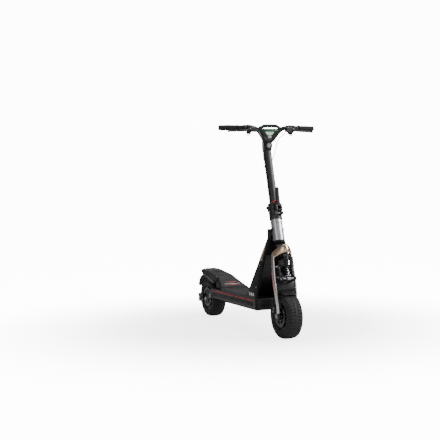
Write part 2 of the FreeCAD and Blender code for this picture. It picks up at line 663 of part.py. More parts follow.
def stem():
    tube = round_bar("stem_radius", "stem_top - fold_height - 2", ("0", "0", "fold_height + 2"))
    foot = round_bar("collar_radius", "14", ("0", "0", "fold_height"))
    neck = taper("collar_radius - 1", "stem_radius + 1", "34", ("0", "0", "fold_height + 14"))
    web = block(("23", "fold_back - 30", "11"), ("-11.5", "30", "fold_height"))
    eye = cross_bar("knuckle_radius", "-11.5", "23", "fold_back", "fold_height")
    bore = round_bar("stem_radius - stem_wall", "stem_top - fold_height", ("0", "0", "fold_height + 20"))
    pin = cross_bar("pin_radius + running_gap", "-12", "24", "fold_back", "fold_height")
    piece(cut(fuse(tube, foot, neck, web, eye), bore, pin), "stem_tube", STEERED)


BAR_HALF = [(36, -386, 1232), (64, -390, 1266), (90, -398, 1286), (112, -404.4, 1291)]
BAR_YAW = 11.53
BAR_START = (117, -403.4, 1291)


def bar_length():
    return math.dist(BAR_START[:2], (size("bar_half_width"), size("bar_end_back")))


def bar_frame(side):
    """At the start of the straight end, X runs outward along the bar for the left side."""
    turn = FreeCAD.Rotation(FreeCAD.Vector(0, 0, 1), BAR_YAW * side)
    return FreeCAD.Placement(FreeCAD.Vector(BAR_START[0] * side, BAR_START[1], BAR_START[2]), turn)


def handlebar():
    points = [(-x, y, z) for x, y, z in reversed(BAR_HALF)] + [(0, -381, 1214)] + BAR_HALF
    arch = pipe(points, size("arch_radius"))
    ends = []
    for side in (1, -1):
        outward = FreeCAD.Vector(side, 0, 0)
        tube = Part.makeCylinder(size("bar_radius"), bar_length() + 12, outward * -12, outward)
        tube.Placement = bar_frame(side).multiply(tube.Placement)
        ends.append(tube)
    return piece(solid(arch.fuse(ends)), "handlebar")


def on_side(item, side, droop=0.0):
    """Turns a control built for the left side into its place on either side, drooped about the bar."""
    if side < 0:
        item = mirror_x(item)
    item = group(item)
    down = FreeCAD.Placement(FreeCAD.Vector(0, 0, 0), FreeCAD.Rotation(FreeCAD.Vector(1, 0, 0), droop))
    item.Placement = bar_frame(side).multiply(down)
    return item


def controls():
    length = str(round(bar_length(), 3))
    gap = {1: "0", -1: "running_gap"}
    for side, label in ((1, "grip_left"), (-1, "throttle_grip")):
        grip = round_bar("grip_radius", f"{length} - grip_start", ("grip_start", "0", "0"), ALONG_X)
        collar = round_bar("grip_radius + 3", "4", ("grip_start - 2", "0", "0"), ALONG_X)
        bore = round_bar(f"bar_radius + {gap[side]}", f"{length} + 10", ("30", "0", "0"), ALONG_X)
        shape = cut(fuse(grip, collar), bore)
        piece(on_side(shape, side), label)
    pods = []
    for side in (1, -1):
        clamp = round_bar("grip_radius + 2", "22", ("15", "0", "0"), ALONG_X)
        pod = block(("26", "30", "34"), ("13.5", "-20", "-38"))
        bore = round_bar("bar_radius", "60", ("0", "0", "0"), ALONG_X)
        pockets = [block(("6", "9", "6"), ("23.5", "1.5", height)) for height in ("-26", "-36")]
        pods.append(on_side(cut(fuse(clamp, pod), bore, *pockets), side))
    piece(group(*pods), "switch_pods")
    cylinders = []
    for side in (1, -1):
        clamp = round_bar("grip_radius", "12", ("0", "0", "0"), ALONG_X)
        arm = block(("14", "30", "16"), ("-1", "-36", "-8"))
        tank = block(("41", "20", "24"), ("-28", "-44", "-12"))
        eye = round_bar("9", "4", ("24", "-40", "6"))
        shelf = round_bar("9", "4", ("24", "-40", "-10"))
        link = block(("14", "18", "4"), ("10", "-49", "6"))
        foot = block(("14", "18", "4"), ("10", "-49", "-10"))
        pin = round_bar("3", "20", ("24", "-40", "-10"))
        bore = round_bar("bar_radius", "60", ("-20", "0", "0"), ALONG_X)
        bare = cut(fuse(clamp, arm, tank, eye, shelf, link, foot, pin), bore)
        cylinders.append(on_side(bare, side, size("lever_droop")))
    piece(group(*cylinders), "master_cylinders")
    blade = [("17", "-45"), ("22", "-32"), ("32", "-32"), ("60", "-44"), ("lever_reach - 8", "-52"),
             ("lever_reach", "-57"), ("lever_reach - 4", "-62"), ("60", "-57"), ("34", "-50")]
    for side, label in ((1, "brake_lever_left"), (-1, "brake_lever_right")):
        lever = plate("XY_Plane", blade, "11.8", "-5.9")
        hole = round_bar("3 + running_gap", "20", ("24", "-40", "-10"))
        piece(on_side(cut(lever, hole), side, size("lever_droop")), label)
    buttons = ((1, "mode_button", "-26"), (1, "horn_button", "-36"), (-1, "turn_switch", "-26"))
    for side, label, height in buttons:
        cap = block(("14", "3", "8"), ("19.5", "12", f"{height} - 1"))
        foot = block(("5", "8", "5"), ("24", "4", f"{height} + 0.5"))
        piece(on_side(fuse(cap, foot), side), label)


def display():
    """The six-sided display frame with its open upper window, and the glass in the lower one."""
    tilt = FreeCAD.Placement(FreeCAD.Vector(0, size("display_back"), size("display_foot")),
                             FreeCAD.Rotation(FreeCAD.Vector(1, 0, 0), size("display_tilt")))
    edge = [("14", "0"), ("80", "64"), ("74", "76"), ("42", "91"),
            ("-42", "91"), ("-74", "76"), ("-80", "64"), ("-14", "0")]
    lower = [("12", "12"), ("54", "52"), ("-54", "52"), ("-12", "12")]
    upper = [("62", "64"), ("64", "70"), ("38", "82"), ("-38", "82"), ("-64", "70"), ("-62", "64")]
    deep = "display_thickness"
    frame = cut(plate("XZ_Plane", edge, deep), plate("XZ_Plane", lower, deep), plate("XZ_Plane", upper, deep))
    glass = plate("XZ_Plane", lower, "6", "4")
    frame_local = group(frame)
    frame_local.Placement = tilt
    glass_local = group(glass)
    glass_local.Placement = tilt
    return frame_local, glass_local


def head_parts():
    frame, glass = display()
    bar = find("handlebar")
    bare = plate("YZ_Plane", [("24", "566"), ("30", "640"), ("20", "652"), ("-46", "668"), ("-58", "640"),
                              ("-44", "600"), ("-30", "566")], "52", "-26")
    bare.Placement = STEERED
    tube_room = group(round_bar("stem_radius", "60", ("0", "0", "530")))
    tube_room.Placement = STEERED
    lamp = round_bar("lamp_radius", "26", ("0", "lamp_back", "lamp_height"), ALONG_Y)
    lamp_room = round_bar("lens_radius", "8", ("0", "lamp_back - 18", "lamp_height"), ALONG_Y)
    head = piece(cut(fuse(bare, lamp), tube_room, lamp_room, group(bar)), "stem_head")
    piece(round_bar("lens_radius", "6", ("0", "lamp_back - 18", "lamp_height"), ALONG_Y), "headlight_lens")
    piece(cut(frame, group(bar), group(head)), "display_frame")
    piece(cut(glass, group(bar), group(head)), "display_glass")


def hoses():
    radius = size("hose_radius")
    right = pipe([(-101, -444, 1268), (-86, -460, 1234), (-62, -440, 1175), (-55, -420, 1134),
                  (-44, -404, 1098), (-24, -390, 1062)], radius)
    left = pipe([(101, -444, 1268), (72, -462, 1250), (47, -440, 1222), (38, -420, 1180),
                 (31, -406, 1134), (20, -394, 1096)], radius)
    neighbours = ("master_cylinders", "stem_tube", "stem_head", "handlebar", "switch_pods")
    keep_clear = [group(find(label)) for label in neighbours]
    piece(cut(solid(Part.makeCompound([right, left])), *keep_clear), "brake_hoses")


# ---- rear suspension ----

def swingarm():
    side = plate(
        "YZ_Plane",
        [("pivot_back - 18", "pivot_height + 14"), ("pivot_back + 20", "pivot_height + 22"), ("500", "174"),
         ("rear_axle_back + 26", "164"), ("rear_axle_back + 34", "141"), ("rear_axle_back + 26", "118"),
         ("500", "124"), ("pivot_back + 20", "pivot_height - 18"), ("pivot_back - 18", "pivot_height - 14")],
        "arm_thickness", "arm_inside",
    )
    clamp = block(("18", "80", "56"), ("arm_inside + arm_thickness", "rear_axle_back - 44", "113"))
    tube = cross_bar("arm_tube_radius", "-97", "194", "pivot_back", "pivot_height")
    lugs = []
    for start in ("-20", "11"):
        lugs.append(block(("9", "20", "lug_height - pivot_height"), (start, "lug_back - 10", "pivot_height")))
        lugs.append(cross_bar("10", start, "9", "lug_back", "lug_height"))
    tie = block(("124", "16", "30"), ("-62", "384", "158"))
    bore = cross_bar("pivot_radius + running_gap", "-98", "196", "pivot_back", "pivot_height")
    axle = cross_bar("axle_radius", "-110", "220", "rear_axle_back", "wheel_radius")
    pin_room = cross_bar("pin_radius", "-21", "42", "lug_back", "lug_height")
    arms = fuse(side, mirror_x(side), clamp, mirror_x(clamp), tube, tie, *lugs)
    piece(cut(arms, bore, axle, pin_room), "swingarm")
    rod = cross_bar("axle_radius", "-106", "212", "rear_axle_back", "wheel_radius")
    nuts = [cross_bar("nut_radius", start, "7", "rear_axle_back", "wheel_radius")
            for start in ("100", "-107")]
    shock_pin = cross_bar("pin_radius", "-20", "40", "lug_back", "lug_height")
    piece(group(fuse(rod, *nuts), shock_pin), "rear_axle")


def rear_rod():
    rod = round_bar("rod_radius - 1", "lug_back - rear_mount_back - 45",
                    ("0", "lug_back - 8", "lug_height"), ALONG_Y)
    eye = cross_bar("10", "-10.5", "21", "lug_back", "lug_height")
    seat = round_bar("spring_seat_radius", "4", ("0", "lug_back - 10", "lug_height"), ALONG_Y)
    hole = cross_bar("pin_radius + 0.6", "-11", "22", "lug_back", "lug_height")
    piece(cut(fuse(rod, eye, seat), hole), "rear_shock_rod")
    turns = coil(13.1, 2, 0, size("lug_back") - 14 - (size("rear_mount_back") + 16), 7)
    turns.rotate(FreeCAD.Vector(0, 0, 0), FreeCAD.Vector(1, 0, 0), -90)
    turns.translate(FreeCAD.Vector(0, size("rear_mount_back") + 16, size("lug_height")))
    piece(solid(turns), "rear_spring")


frame_rails()
head_tube()
headset_bearings()
battery_case()
deck_parts()
footrest()
tail()
rear_mudguard()
rear_mounts()
kickstand()
steerer()
fold_collar()
latch()
LOWER_TIP = wishbone("lower_wishbone", "lower_root")
UPPER_TIP = wishbone("upper_wishbone", "upper_root")
front_shock()
front_fork([LOWER_TIP, UPPER_TIP])
wheel("front", "front_axle_back")
wheel("rear", "rear_axle_back")
caliper("front_caliper", "front_axle_back", -60, "23")
caliper("rear_caliper", "rear_axle_back", 75, "25")
front_fender()
stem()
handlebar()
controls()
head_parts()
hoses()
swingarm()
rear_rod()

document.recompute()
for item in document.Objects:
    if "Invalid" in item.State or "Error" in item.State:
        raise SystemExit(f"{item.Name} ({item.Label}) failed: {item.State}")
os.makedirs("parts", exist_ok=True)
for item in PIECES:
    if item.Shape.isNull() or not item.Shape.isValid():
        raise SystemExit(f"{item.Label} has no valid shape")
    item.Shape.exportStep(f"parts/{item.Label}.step")
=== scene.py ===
import json
import math

import bmesh
import bpy
from mathutils import Matrix, Vector


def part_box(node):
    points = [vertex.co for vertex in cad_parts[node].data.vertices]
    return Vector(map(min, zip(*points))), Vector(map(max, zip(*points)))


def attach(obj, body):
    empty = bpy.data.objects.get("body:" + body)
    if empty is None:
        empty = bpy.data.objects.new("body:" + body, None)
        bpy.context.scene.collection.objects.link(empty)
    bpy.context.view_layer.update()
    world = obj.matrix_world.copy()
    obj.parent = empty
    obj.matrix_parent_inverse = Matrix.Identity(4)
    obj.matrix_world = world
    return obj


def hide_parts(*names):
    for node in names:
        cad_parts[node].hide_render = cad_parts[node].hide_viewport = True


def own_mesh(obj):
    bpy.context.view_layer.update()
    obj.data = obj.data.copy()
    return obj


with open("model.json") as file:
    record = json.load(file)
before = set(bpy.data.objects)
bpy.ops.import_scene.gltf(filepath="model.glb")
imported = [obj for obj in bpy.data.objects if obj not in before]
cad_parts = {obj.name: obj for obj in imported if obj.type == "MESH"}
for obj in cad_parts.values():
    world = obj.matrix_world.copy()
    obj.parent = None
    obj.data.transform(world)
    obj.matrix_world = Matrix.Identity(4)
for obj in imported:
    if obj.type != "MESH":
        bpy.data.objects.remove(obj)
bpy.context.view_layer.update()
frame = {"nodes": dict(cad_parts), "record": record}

# The scooter stands on z = 0 and faces -Y. The rider's right is -X.

RAKE = math.radians(15)
AXIS_FOOT = Vector((0, -0.5093, 0.6))
STEERED = Matrix.Translation(AXIS_FOOT) @ Matrix.Rotation(-RAKE, 4, "X")
UP_AXIS = (STEERED.to_3x3() @ Vector((0, 0, 1))).normalized()


def middle(node):
    low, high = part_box(node)
    return (low + high) / 2


# ---- materials ----

def node_tree(name):
    material = bpy.data.materials.new(name)
    material.use_nodes = True
    tree = material.node_tree
    shader = tree.nodes["Principled BSDF"]
    return material, tree, shader


def add(tree, kind, **values):
    node = tree.nodes.new(kind)
    for key, value in values.items():
        if key in node.inputs:
            node.inputs[key].default_value = value
        else:
            setattr(node, key, value)
    return node


def surface(name, colour, roughness, metal=0.0, variation=0.25, mottle=14.0, grain=900.0, depth=0.12,
            edge=None, coat=0.0, stretch=None, shine=0.22):
    """A finish with mottled colour, uneven gloss, fine grain and, if an edge colour is given, a painted highlight along
    its edges.
    """
    material, tree, shader = node_tree(name)
    link = tree.links.new
    place = add(tree, "ShaderNodeTexCoord")
    spread = add(tree, "ShaderNodeMapping")
    if stretch:
        spread.inputs["Scale"].default_value = stretch
    link(place.outputs["Object"], spread.inputs["Vector"])
    broad = add(tree, "ShaderNodeTexNoise", Scale=mottle, Detail=5.0, Roughness=0.6)
    fine = add(tree, "ShaderNodeTexNoise", Scale=grain, Detail=3.0, Roughness=0.55)
    link(spread.outputs["Vector"], broad.inputs["Vector"])
    link(spread.outputs["Vector"], fine.inputs["Vector"])
    ramp = add(tree, "ShaderNodeValToRGB")
    dark = [c * (1 - variation) for c in colour]
    light = [min(1.0, c * (1 + variation)) for c in colour]
    ramp.color_ramp.elements[0].color = (*dark, 1)
    ramp.color_ramp.elements[1].color = (*light, 1)
    ramp.color_ramp.elements[0].position = 0.3
    ramp.color_ramp.elements[1].position = 0.7
    link(broad.outputs["Fac"], ramp.inputs["Fac"])
    tint = ramp.outputs["Color"]
    # Painted highlight: edges found through the bevel normal are blended toward the lighter edge colour, broken up by
    # the fine grain.
    if edge:
        bevel = add(tree, "ShaderNodeBevel", samples=4, Radius=0.0012)
        shape = add(tree, "ShaderNodeNewGeometry")
        dot = add(tree, "ShaderNodeVectorMath", operation="DOT_PRODUCT")
        link(bevel.outputs["Normal"], dot.inputs[0])
        link(shape.outputs["Normal"], dot.inputs[1])
        edge_highlight_mask = add(tree, "ShaderNodeMapRange")
        edge_highlight_mask.inputs["From Min"].default_value = 0.995
        edge_highlight_mask.inputs["From Max"].default_value = 0.90
        link(dot.outputs["Value"], edge_highlight_mask.inputs["Value"])
        broken_edge_highlight = add(tree, "ShaderNodeMath", operation="MULTIPLY")
        link(edge_highlight_mask.outputs["Result"], broken_edge_highlight.inputs[0])
        link(fine.outputs["Fac"], broken_edge_highlight.inputs[1])
        mix = add(tree, "ShaderNodeMix", data_type="RGBA")
        mix.inputs["B"].default_value = (*edge, 1)
        link(broken_edge_highlight.outputs["Value"], mix.inputs["Factor"])
        link(tint, mix.inputs["A"])
        tint = mix.outputs["Result"]
    link(tint, shader.inputs["Base Color"])
    gloss = add(tree, "ShaderNodeMapRange")
    gloss.inputs["To Min"].default_value = max(0.02, roughness - 0.08)
    gloss.inputs["To Max"].default_value = min(1.0, roughness + 0.10)
    link(broad.outputs["Fac"], gloss.inputs["Value"])
    link(gloss.outputs["Result"], shader.inputs["Roughness"])
    bump = add(tree, "ShaderNodeBump", Strength=depth, Distance=0.0006)
    link(fine.outputs["Fac"], bump.inputs["Height"])
    link(bump.outputs["Normal"], shader.inputs["Normal"])
    shader.inputs["Metallic"].default_value = metal
    shader.inputs["Specular IOR Level"].default_value = shine
    shader.inputs["Coat Weight"].default_value = coat
    shader.inputs["Coat Roughness"].default_value = 0.15
    return material


def clear_glass(name, colour, roughness, density):
    """Tinted glass: a see-through share mixed with a glossy, faintly uneven surface."""
    material, tree, shader = node_tree(name)
    link = tree.links.new
    place = add(tree, "ShaderNodeTexCoord")
    smear = add(tree, "ShaderNodeTexNoise", Scale=60.0, Detail=4.0)
    link(place.outputs["Object"], smear.inputs["Vector"])
    gloss = add(tree, "ShaderNodeMapRange")
    gloss.inputs["To Min"].default_value = roughness
    gloss.inputs["To Max"].default_value = roughness + 0.12
    link(smear.outputs["Fac"], gloss.inputs["Value"])
    link(gloss.outputs["Result"], shader.inputs["Roughness"])
    shader.inputs["Base Color"].default_value = (*colour, 1)
    shader.inputs["Alpha"].default_value = density
    shader.inputs["Specular IOR Level"].default_value = 0.8
    return material


def glow(name, colour, strength, roughness=0.3):
    """A lit strip behind a tinted cover, a little uneven along its length."""
    material, tree, shader = node_tree(name)
    link = tree.links.new
    place = add(tree, "ShaderNodeTexCoord")
    noise = add(tree, "ShaderNodeTexNoise", Scale=30.0, Detail=3.0)
    link(place.outputs["Object"], noise.inputs["Vector"])
    ramp = add(tree, "ShaderNodeValToRGB")
    ramp.color_ramp.elements[0].color = (*[c * 0.55 for c in colour], 1)
    ramp.color_ramp.elements[1].color = (*colour, 1)
    link(noise.outputs["Fac"], ramp.inputs["Fac"])
    link(ramp.outputs["Color"], shader.inputs["Base Color"])
    link(ramp.outputs["Color"], shader.inputs["Emission Color"])
    shader.inputs["Emission Strength"].default_value = strength
    shader.inputs["Roughness"].default_value = roughness
    return material


BLACK = (0.008, 0.008, 0.0085)
# An edge colour given here is a painted highlight along the part's edges, lighter than the base colour.
MATERIALS = {
    "frame_black": surface("satin_black", BLACK, 0.38, grain=700, depth=0.10, edge=(0.03, 0.03, 0.03), coat=0.08),
    "case_black": surface("case_plastic", (0.008, 0.008, 0.0085), 0.55, grain=1600, depth=0.30, edge=(0.02, 0.02, 0.02)),
    "deck_black": surface("deck_metal", (0.016, 0.016, 0.017), 0.45, 0.3, grain=1200, depth=0.15, edge=(0.09, 0.09, 0.09)),
    "mat_rubber": surface("mat_rubber", (0.022, 0.022, 0.023), 0.75, grain=1400, depth=0.45),
    "silver": surface("brushed_silver", (0.40, 0.40, 0.42), 0.34, 1.0, 0.10, 8, 260, 0.18, stretch=(9, 9, 0.5)),
    "bronze": surface("champagne_bronze", (0.58, 0.42, 0.28), 0.24, 1.0, 0.12, 10, 700, 0.06, edge=(0.8, 0.66, 0.5)),
    "fork_silver": surface("warm_silver", (0.56, 0.52, 0.49), 0.26, 1.0, 0.12, 9, 600, 0.08, edge=(0.75, 0.7, 0.66)),
    "graphite": surface("graphite", (0.045, 0.045, 0.048), 0.40, 0.75, 0.15, 10, 900, 0.08, edge=(0.15, 0.15, 0.16)),
    "tail_grey": surface("tail_grey", (0.022, 0.022, 0.024), 0.36, 0.2, 0.2, 12, 900, 0.06, edge=(0.07, 0.07, 0.07), coat=0.15),
    "tyre": surface("tyre_rubber", (0.011, 0.011, 0.0115), 0.66, 0.0, 0.35, 30, 1100, 0.35, shine=0.32),
    "motor_black": surface("motor_shell", (0.009, 0.009, 0.0095), 0.38, 0.4, grain=500, depth=0.15, edge=(0.05, 0.05, 0.05)),
    "disc_steel": surface("dark_steel", (0.055, 0.055, 0.057), 0.36, 1.0, 0.15, 20, 800, 0.25, stretch=(1, 6, 6)),
    "bolt_steel": surface("bright_steel", (0.30, 0.30, 0.31), 0.30, 1.0, 0.12, 60, 1500, 0.08),
    "spring_black": surface("spring_coat", (0.012, 0.012, 0.0125), 0.34, 0.2, coat=0.2, edge=(0.05, 0.05, 0.05)),
    "red_paint": surface("red_anodised", (0.62, 0.022, 0.016), 0.30, 0.5, 0.15, 60, 1200, 0.05, coat=0.4, shine=0.5),
    "plastic_black": surface("matt_plastic", (0.008, 0.008, 0.0085), 0.50, grain=1900, depth=0.28, edge=(0.02, 0.02, 0.02)),
    "grip_rubber": surface("grip_rubber", (0.009, 0.009, 0.009), 0.70, grain=1700, depth=0.45),
    "hose_rubber": surface("hose_sleeve", (0.16, 0.16, 0.17), 0.45, 0.1, 0.2, 40, 1500, 0.2),
    "cell_wrap": surface("cell_wrap", (0.03, 0.08, 0.2), 0.5),
    "controller_alloy": surface("cast_alloy", (0.3, 0.3, 0.31), 0.5, 0.9, grain=700, depth=0.4),
    "bearing_steel": surface("bearing_steel", (0.5, 0.5, 0.52), 0.2, 1.0),
    "display_glass": clear_glass("green_glass", (0.50, 0.78, 0.58), 0.08, 0.55),
    "lamp_glass": clear_glass("lamp_lens", (0.55, 0.57, 0.6), 0.06, 0.35),
    "red_light": glow("red_light_strip", (0.42, 0.012, 0.016), 0.35),
    "white_mark": surface("white_mark", (0.5, 0.5, 0.5), 0.5, 0.0, 0.1, 60, 1500, 0.05),
    "green_frame": surface("green_black", (0.010, 0.018, 0.013), 0.40, 0.1, 0.25, 30, 1200, 0.12, edge=(0.03, 0.05, 0.04)),
    "screen_glass": surface("pale_screen", (0.50, 0.66, 0.54), 0.14, 0.0, 0.18, 30, 900, 0.03, coat=0.6),
    "green_bar": surface("green_bar", (0.03, 0.14, 0.05), 0.3, 0.1, 0.2, 40, 900, 0.05, coat=0.4),
}


def finish_cad_nodes():
    """Each CAD node gets its slot's finish."""
    slots = {entry["node"]: entry["material_slot"] for entry in frame["record"]["subparts"]}
    for name, obj in frame["nodes"].items():
        material = MATERIALS[slots[name]]
        obj.data.materials.clear()
        obj.data.materials.append(material)


SOFTENED = ["frame_rails", "fold_collar", "battery_case", "deck_plate", "swingarm", "steering_knuckle", "upper_wishbone",
            "lower_wishbone", "front_caliper", "rear_caliper", "master_cylinders"]


def soften(obj, width=0.0008, segments=2, angle=35):
    bevel = obj.modifiers.new("soft_edge", "BEVEL")
    bevel.width = width
    bevel.segments = segments
    bevel.limit_method = "ANGLE"
    bevel.angle_limit = math.radians(angle)
    bevel.harden_normals = False


# ---- mesh building ----

def piece(name, bm, material, body, replaces=(), smooth=True, subdivide=0, bevel=0.0):
    """Turns a bmesh into a piece that rides on a body."""
    bmesh.ops.recalc_face_normals(bm, faces=bm.faces)
    mesh = bpy.data.meshes.new(name)
    bm.to_mesh(mesh)
    bm.free()
    obj = bpy.data.objects.new(name, mesh)
    bpy.context.scene.collection.objects.link(obj)
    for polygon in mesh.polygons:
        polygon.use_smooth = smooth
    mesh.materials.append(MATERIALS[material])
    if bevel:
        soften(obj, bevel, 2)
    if subdivide:
        sub = obj.modifiers.new("smooth", "SUBSURF")
        sub.levels = subdivide
        sub.render_levels = subdivide
    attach(obj, body)
    if replaces:
        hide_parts(*replaces)
    return obj


def rings_to_bmesh(rings, closed_ends=True, loop=False):
    """A skin over rings of points, each ring closed on itself. With loop, the last ring joins the first."""
    bm = bmesh.new()
    rows = [[bm.verts.new(p) for p in ring] for ring in rings]
    count = len(rows[0])
    pairs = list(zip(rows, rows[1:]))
    if loop:
        pairs.append((rows[-1], rows[0]))
    for a, b in pairs:
        for i in range(count):
            j = (i + 1) % count
            bm.faces.new((a[i], a[j], b[j], b[i]))
    if closed_ends and not loop:
        bm.faces.new(list(reversed(rows[0])))
        bm.faces.new(rows[-1])
    return bm


def lathe(profile, centre, along, segments=64):
    """Turns a closed profile of (radius, distance) about a line."""
    along = Vector(along).normalized()
    side = along.orthogonal().normalized()
    other = along.cross(side)
    rings = []
    for step in range(segments):
        angle = 2 * math.pi * step / segments
        out = side * math.cos(angle) + other * math.sin(angle)
        rings.append([Vector(centre) + out * r + along * d for r, d in profile])
    return rings_to_bmesh(rings, closed_ends=False, loop=True)


def sweep(points, radius, segments=12, flat=1.0):
    """A tube along a path. The radius may be one number or one for each point."""
    points = [Vector(p) for p in points]
    radii = radius if isinstance(radius, (list, tuple)) else [radius] * len(points)
    normal = None
    rings = []
    for i, p in enumerate(points):
        ahead = points[min(i + 1, len(points) - 1)] - points[max(i - 1, 0)]
        ahead.normalize()
        if normal is None:
            normal = ahead.orthogonal().normalized()
        normal = (normal - ahead * normal.dot(ahead)).normalized()
        across = ahead.cross(normal)
        ring = []
        for k in range(segments):
            angle = 2 * math.pi * k / segments
            ring.append(p + (normal * math.cos(angle) + across * math.sin(angle) * flat) * radii[i])
        rings.append(ring)
    return rings_to_bmesh(rings)


def smooth_path(points, steps=12):
    """Points on a smooth curve through the given points."""
    points = [Vector(p) for p in points]
    padded = [points[0] * 2 - points[1]] + points + [points[-1] * 2 - points[-2]]
    path = []
    for a, b, c, d in zip(padded, padded[1:], padded[2:], padded[3:]):
        for step in range(steps):
            t = step / steps
            path.append(0.5 * (2 * b + (c - a) * t + (2 * a - 5 * b + 4 * c - d) * t * t
                               + (3 * b - a - 3 * c + d) * t ** 3))
    path.append(points[-1])
    return path


def rounded_rect(half_a, half_b, radius, steps=4):
    """Corner-rounded rectangle outline as (a, b) pairs."""
    radius = min(radius, half_a, half_b)
    outline = []
    for corner, (ca, cb) in enumerate(((1, 1), (-1, 1), (-1, -1), (1, -1))):
        for step in range(steps + 1):
            angle = math.radians(90 * corner + 90 * step / steps)
            outline.append((ca * (half_a - radius) + radius * math.cos(angle),
                            cb * (half_b - radius) + radius * math.sin(angle)))
    return outline


def prism(outline, low, high, mapping):
    """Extrudes an outline of (a, b) pairs between two depths; mapping turns (a, b, depth) into a point."""
    rings = [[Vector(mapping(a, b, low)) for a, b in outline], [Vector(mapping(a, b, high)) for a, b in outline]]
    return rings_to_bmesh(rings)


def join(*meshes):
    """One bmesh holding all the given ones."""
    total = bmesh.new()
    for bm in meshes:
        mesh = bpy.data.meshes.new("part")
        bm.to_mesh(mesh)
        bm.free()
        total.from_mesh(mesh)
        bpy.data.meshes.remove(mesh)
    return total


def bolt_head(centre, along, radius, height, socket=0.5):
    """A round-edged cap screw with a six-sided socket."""
    rim = [(0, 0), (radius, 0), (radius, height * 0.75), (radius * 0.86, height), (radius * socket, height),
           (radius * socket, height * 0.45), (0, height * 0.45)]
    along = Vector(along).normalized()
    side = along.orthogonal().normalized()
    other = along.cross(side)
    rings = []
    for r, d in rim:
        r = max(r, radius * 0.02)
        rings.append([Vector(centre) + along * d + (side * math.cos(math.pi * k / 9) + other * math.sin(math.pi * k / 9)) * r
                      for k in range(18)])
    return rings_to_bmesh(rings)


def steered(x, back, up):
    """A point given in millimetres about the steering axis."""
    return STEERED @ Vector((x / 1000, back / 1000, up / 1000))


def mm(x, y, z):
    return Vector((x, y, z)) / 1000


# ---- wheels ----

TREAD_BLOCKS = 44
TREAD_DEPTH = 0.0052


def step_between(value, low, high):
    t = max(0.0, min(1.0, (value - low) / (high - low)))
    return t * t * (3 - 2 * t)


def groove_depth(turn, across, half):
    """Depth of the tread's grooves at a share of a turn and a distance across, in metres."""
    place = abs(across) / half
    if place > 0.97:
        return 0.0
    lean = 0.55 * place
    block = (turn * TREAD_BLOCKS + lean + (0.5 if across < 0 else 0.0)) % 1.0
    slant = step_between(0.15 - abs(block - 0.5), 0.0, 0.055) * step_between(place, 0.16, 0.26)
    slant *= 1 - step_between(place, 0.84, 0.96)
    wave = 0.0032 * math.sin(2 * math.pi * turn * TREAD_BLOCKS / 2)
    centre = step_between(0.0026 - abs(abs(across) - 0.0115 - wave), 0.0, 0.0012)
    return TREAD_DEPTH * max(slant, 0.85 * centre)


def tyre(name, node, body):
    low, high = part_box(node)
    centre = (low + high) / 2
    outer = (high.z - low.z) / 2
    half = (high.x - low.x) / 2
    bead = 0.0892
    section = []
    for step in range(17):
        t = step / 16
        bulge = half * (0.90 + 0.10 * math.sin(math.pi * min(1.0, t * 1.05)))
        section.append((bead + (outer - 0.020 - bead) * t, bulge, 0))
    crown = []
    steps = 44
    for step in range(steps + 1):
        t = -1 + 2 * step / steps
        drop = 0.020 * abs(t) ** 2.6
        crown.append((outer - drop, half * 0.985 * math.sin(t * math.pi / 2 * 0.98), 1))
    around = 528
    bm = bmesh.new()
    left = [(r, -b, k) for r, b, k in section]
    right = [(r, b, k) for r, b, k in reversed(section)]
    inner = [(bead - 0.0002, half * 0.8, 0), (bead - 0.0002, -half * 0.8, 0)]
    outline = left[:-1] + crown + right[1:] + inner
    rows = []
    for number in range(around):
        turn = number / around
        angle = 2 * math.pi * turn
        ring = []
        for r, x, tread in outline:
            depth = groove_depth(turn, x, half) if tread else 0.0
            reach = r - depth
            ring.append(bm.verts.new((centre.x + x, centre.y + reach * math.sin(angle), centre.z + reach * math.cos(angle))))
        rows.append(ring)
    count = len(outline)
    for a, b in zip(rows, rows[1:] + rows[:1]):
        for i in range(count):
            j = (i + 1) % count
            bm.faces.new((a[i], a[j], b[j], b[i]))
    ribs = [lathe([(bead + 0.004 + 0.0015 * math.cos(t * math.pi / 3), side * half * 0.925 + 0.0012 * math.sin(t * math.pi / 3))
                   for t in range(6)], centre, (1, 0, 0), 96) for side in (-1, 1)]
    return piece(name, join(bm, *ribs), "tyre", body, replaces=[node])


def wheel_details(prefix, body):
    """Motor cover ribs, cover screws, a raised ring on each cover, the valve and the disc's screws."""
    low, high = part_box(prefix + "_hub_motor")
    centre = Vector((0, (low.y + high.y) / 2, (low.z + high.z) / 2))
    parts = []
    for side in (1, -1):
        along = Vector((side, 0, 0))
        face = 0.0351
        for number in range(10):
            angle = 2 * math.pi * number / 10
            out = Vector((0, math.sin(angle), math.cos(angle)))
            parts.append(bolt_head(centre + along * face + out * 0.074, along, 0.0032, 0.003))
            rib = [Vector(centre) + along * (face + 0.001) + out * 0.040, Vector(centre) + along * (face + 0.0035) + out * 0.055,
                   Vector(centre) + along * (face + 0.001) + out * 0.067]
            parts.append(sweep(smooth_path(rib, 5), [0.0028] * 11, 8))
        profile = [(0.0345, face - 0.001), (0.0385, face - 0.001), (0.0385, face + 0.003), (0.0345, face + 0.003)]
        parts.append(lathe(profile, centre, along, 72))
    piece(prefix + "_motor_cover_ribs", join(*parts), "motor_black", body, bevel=0.0003)
    out = Vector((0, math.sin(2.2), math.cos(2.2)))
    foot = centre + Vector((0.030, 0, 0)) + out * 0.082
    valve = sweep([foot, foot + Vector((0.012, 0, 0)) - out * 0.010, foot + Vector((0.020, 0, 0)) - out * 0.016],
                  [0.0034, 0.003, 0.003], 10)
    piece(prefix + "_valve", valve, "hose_rubber", body)
    rivets = []
    disc_low, disc_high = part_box(prefix + "_brake_disc")
    for number in range(6):
        angle = 2 * math.pi * (number + 0.5) / 6
        spot = centre + Vector((0, math.sin(angle), math.cos(angle))) * 0.027
        rivets.append(bolt_head(Vector((disc_low.x, spot.y, spot.z)), (-1, 0, 0), 0.0035, 0.0025))
    piece(prefix + "_disc_screws", join(*rivets), "bolt_steel", body)


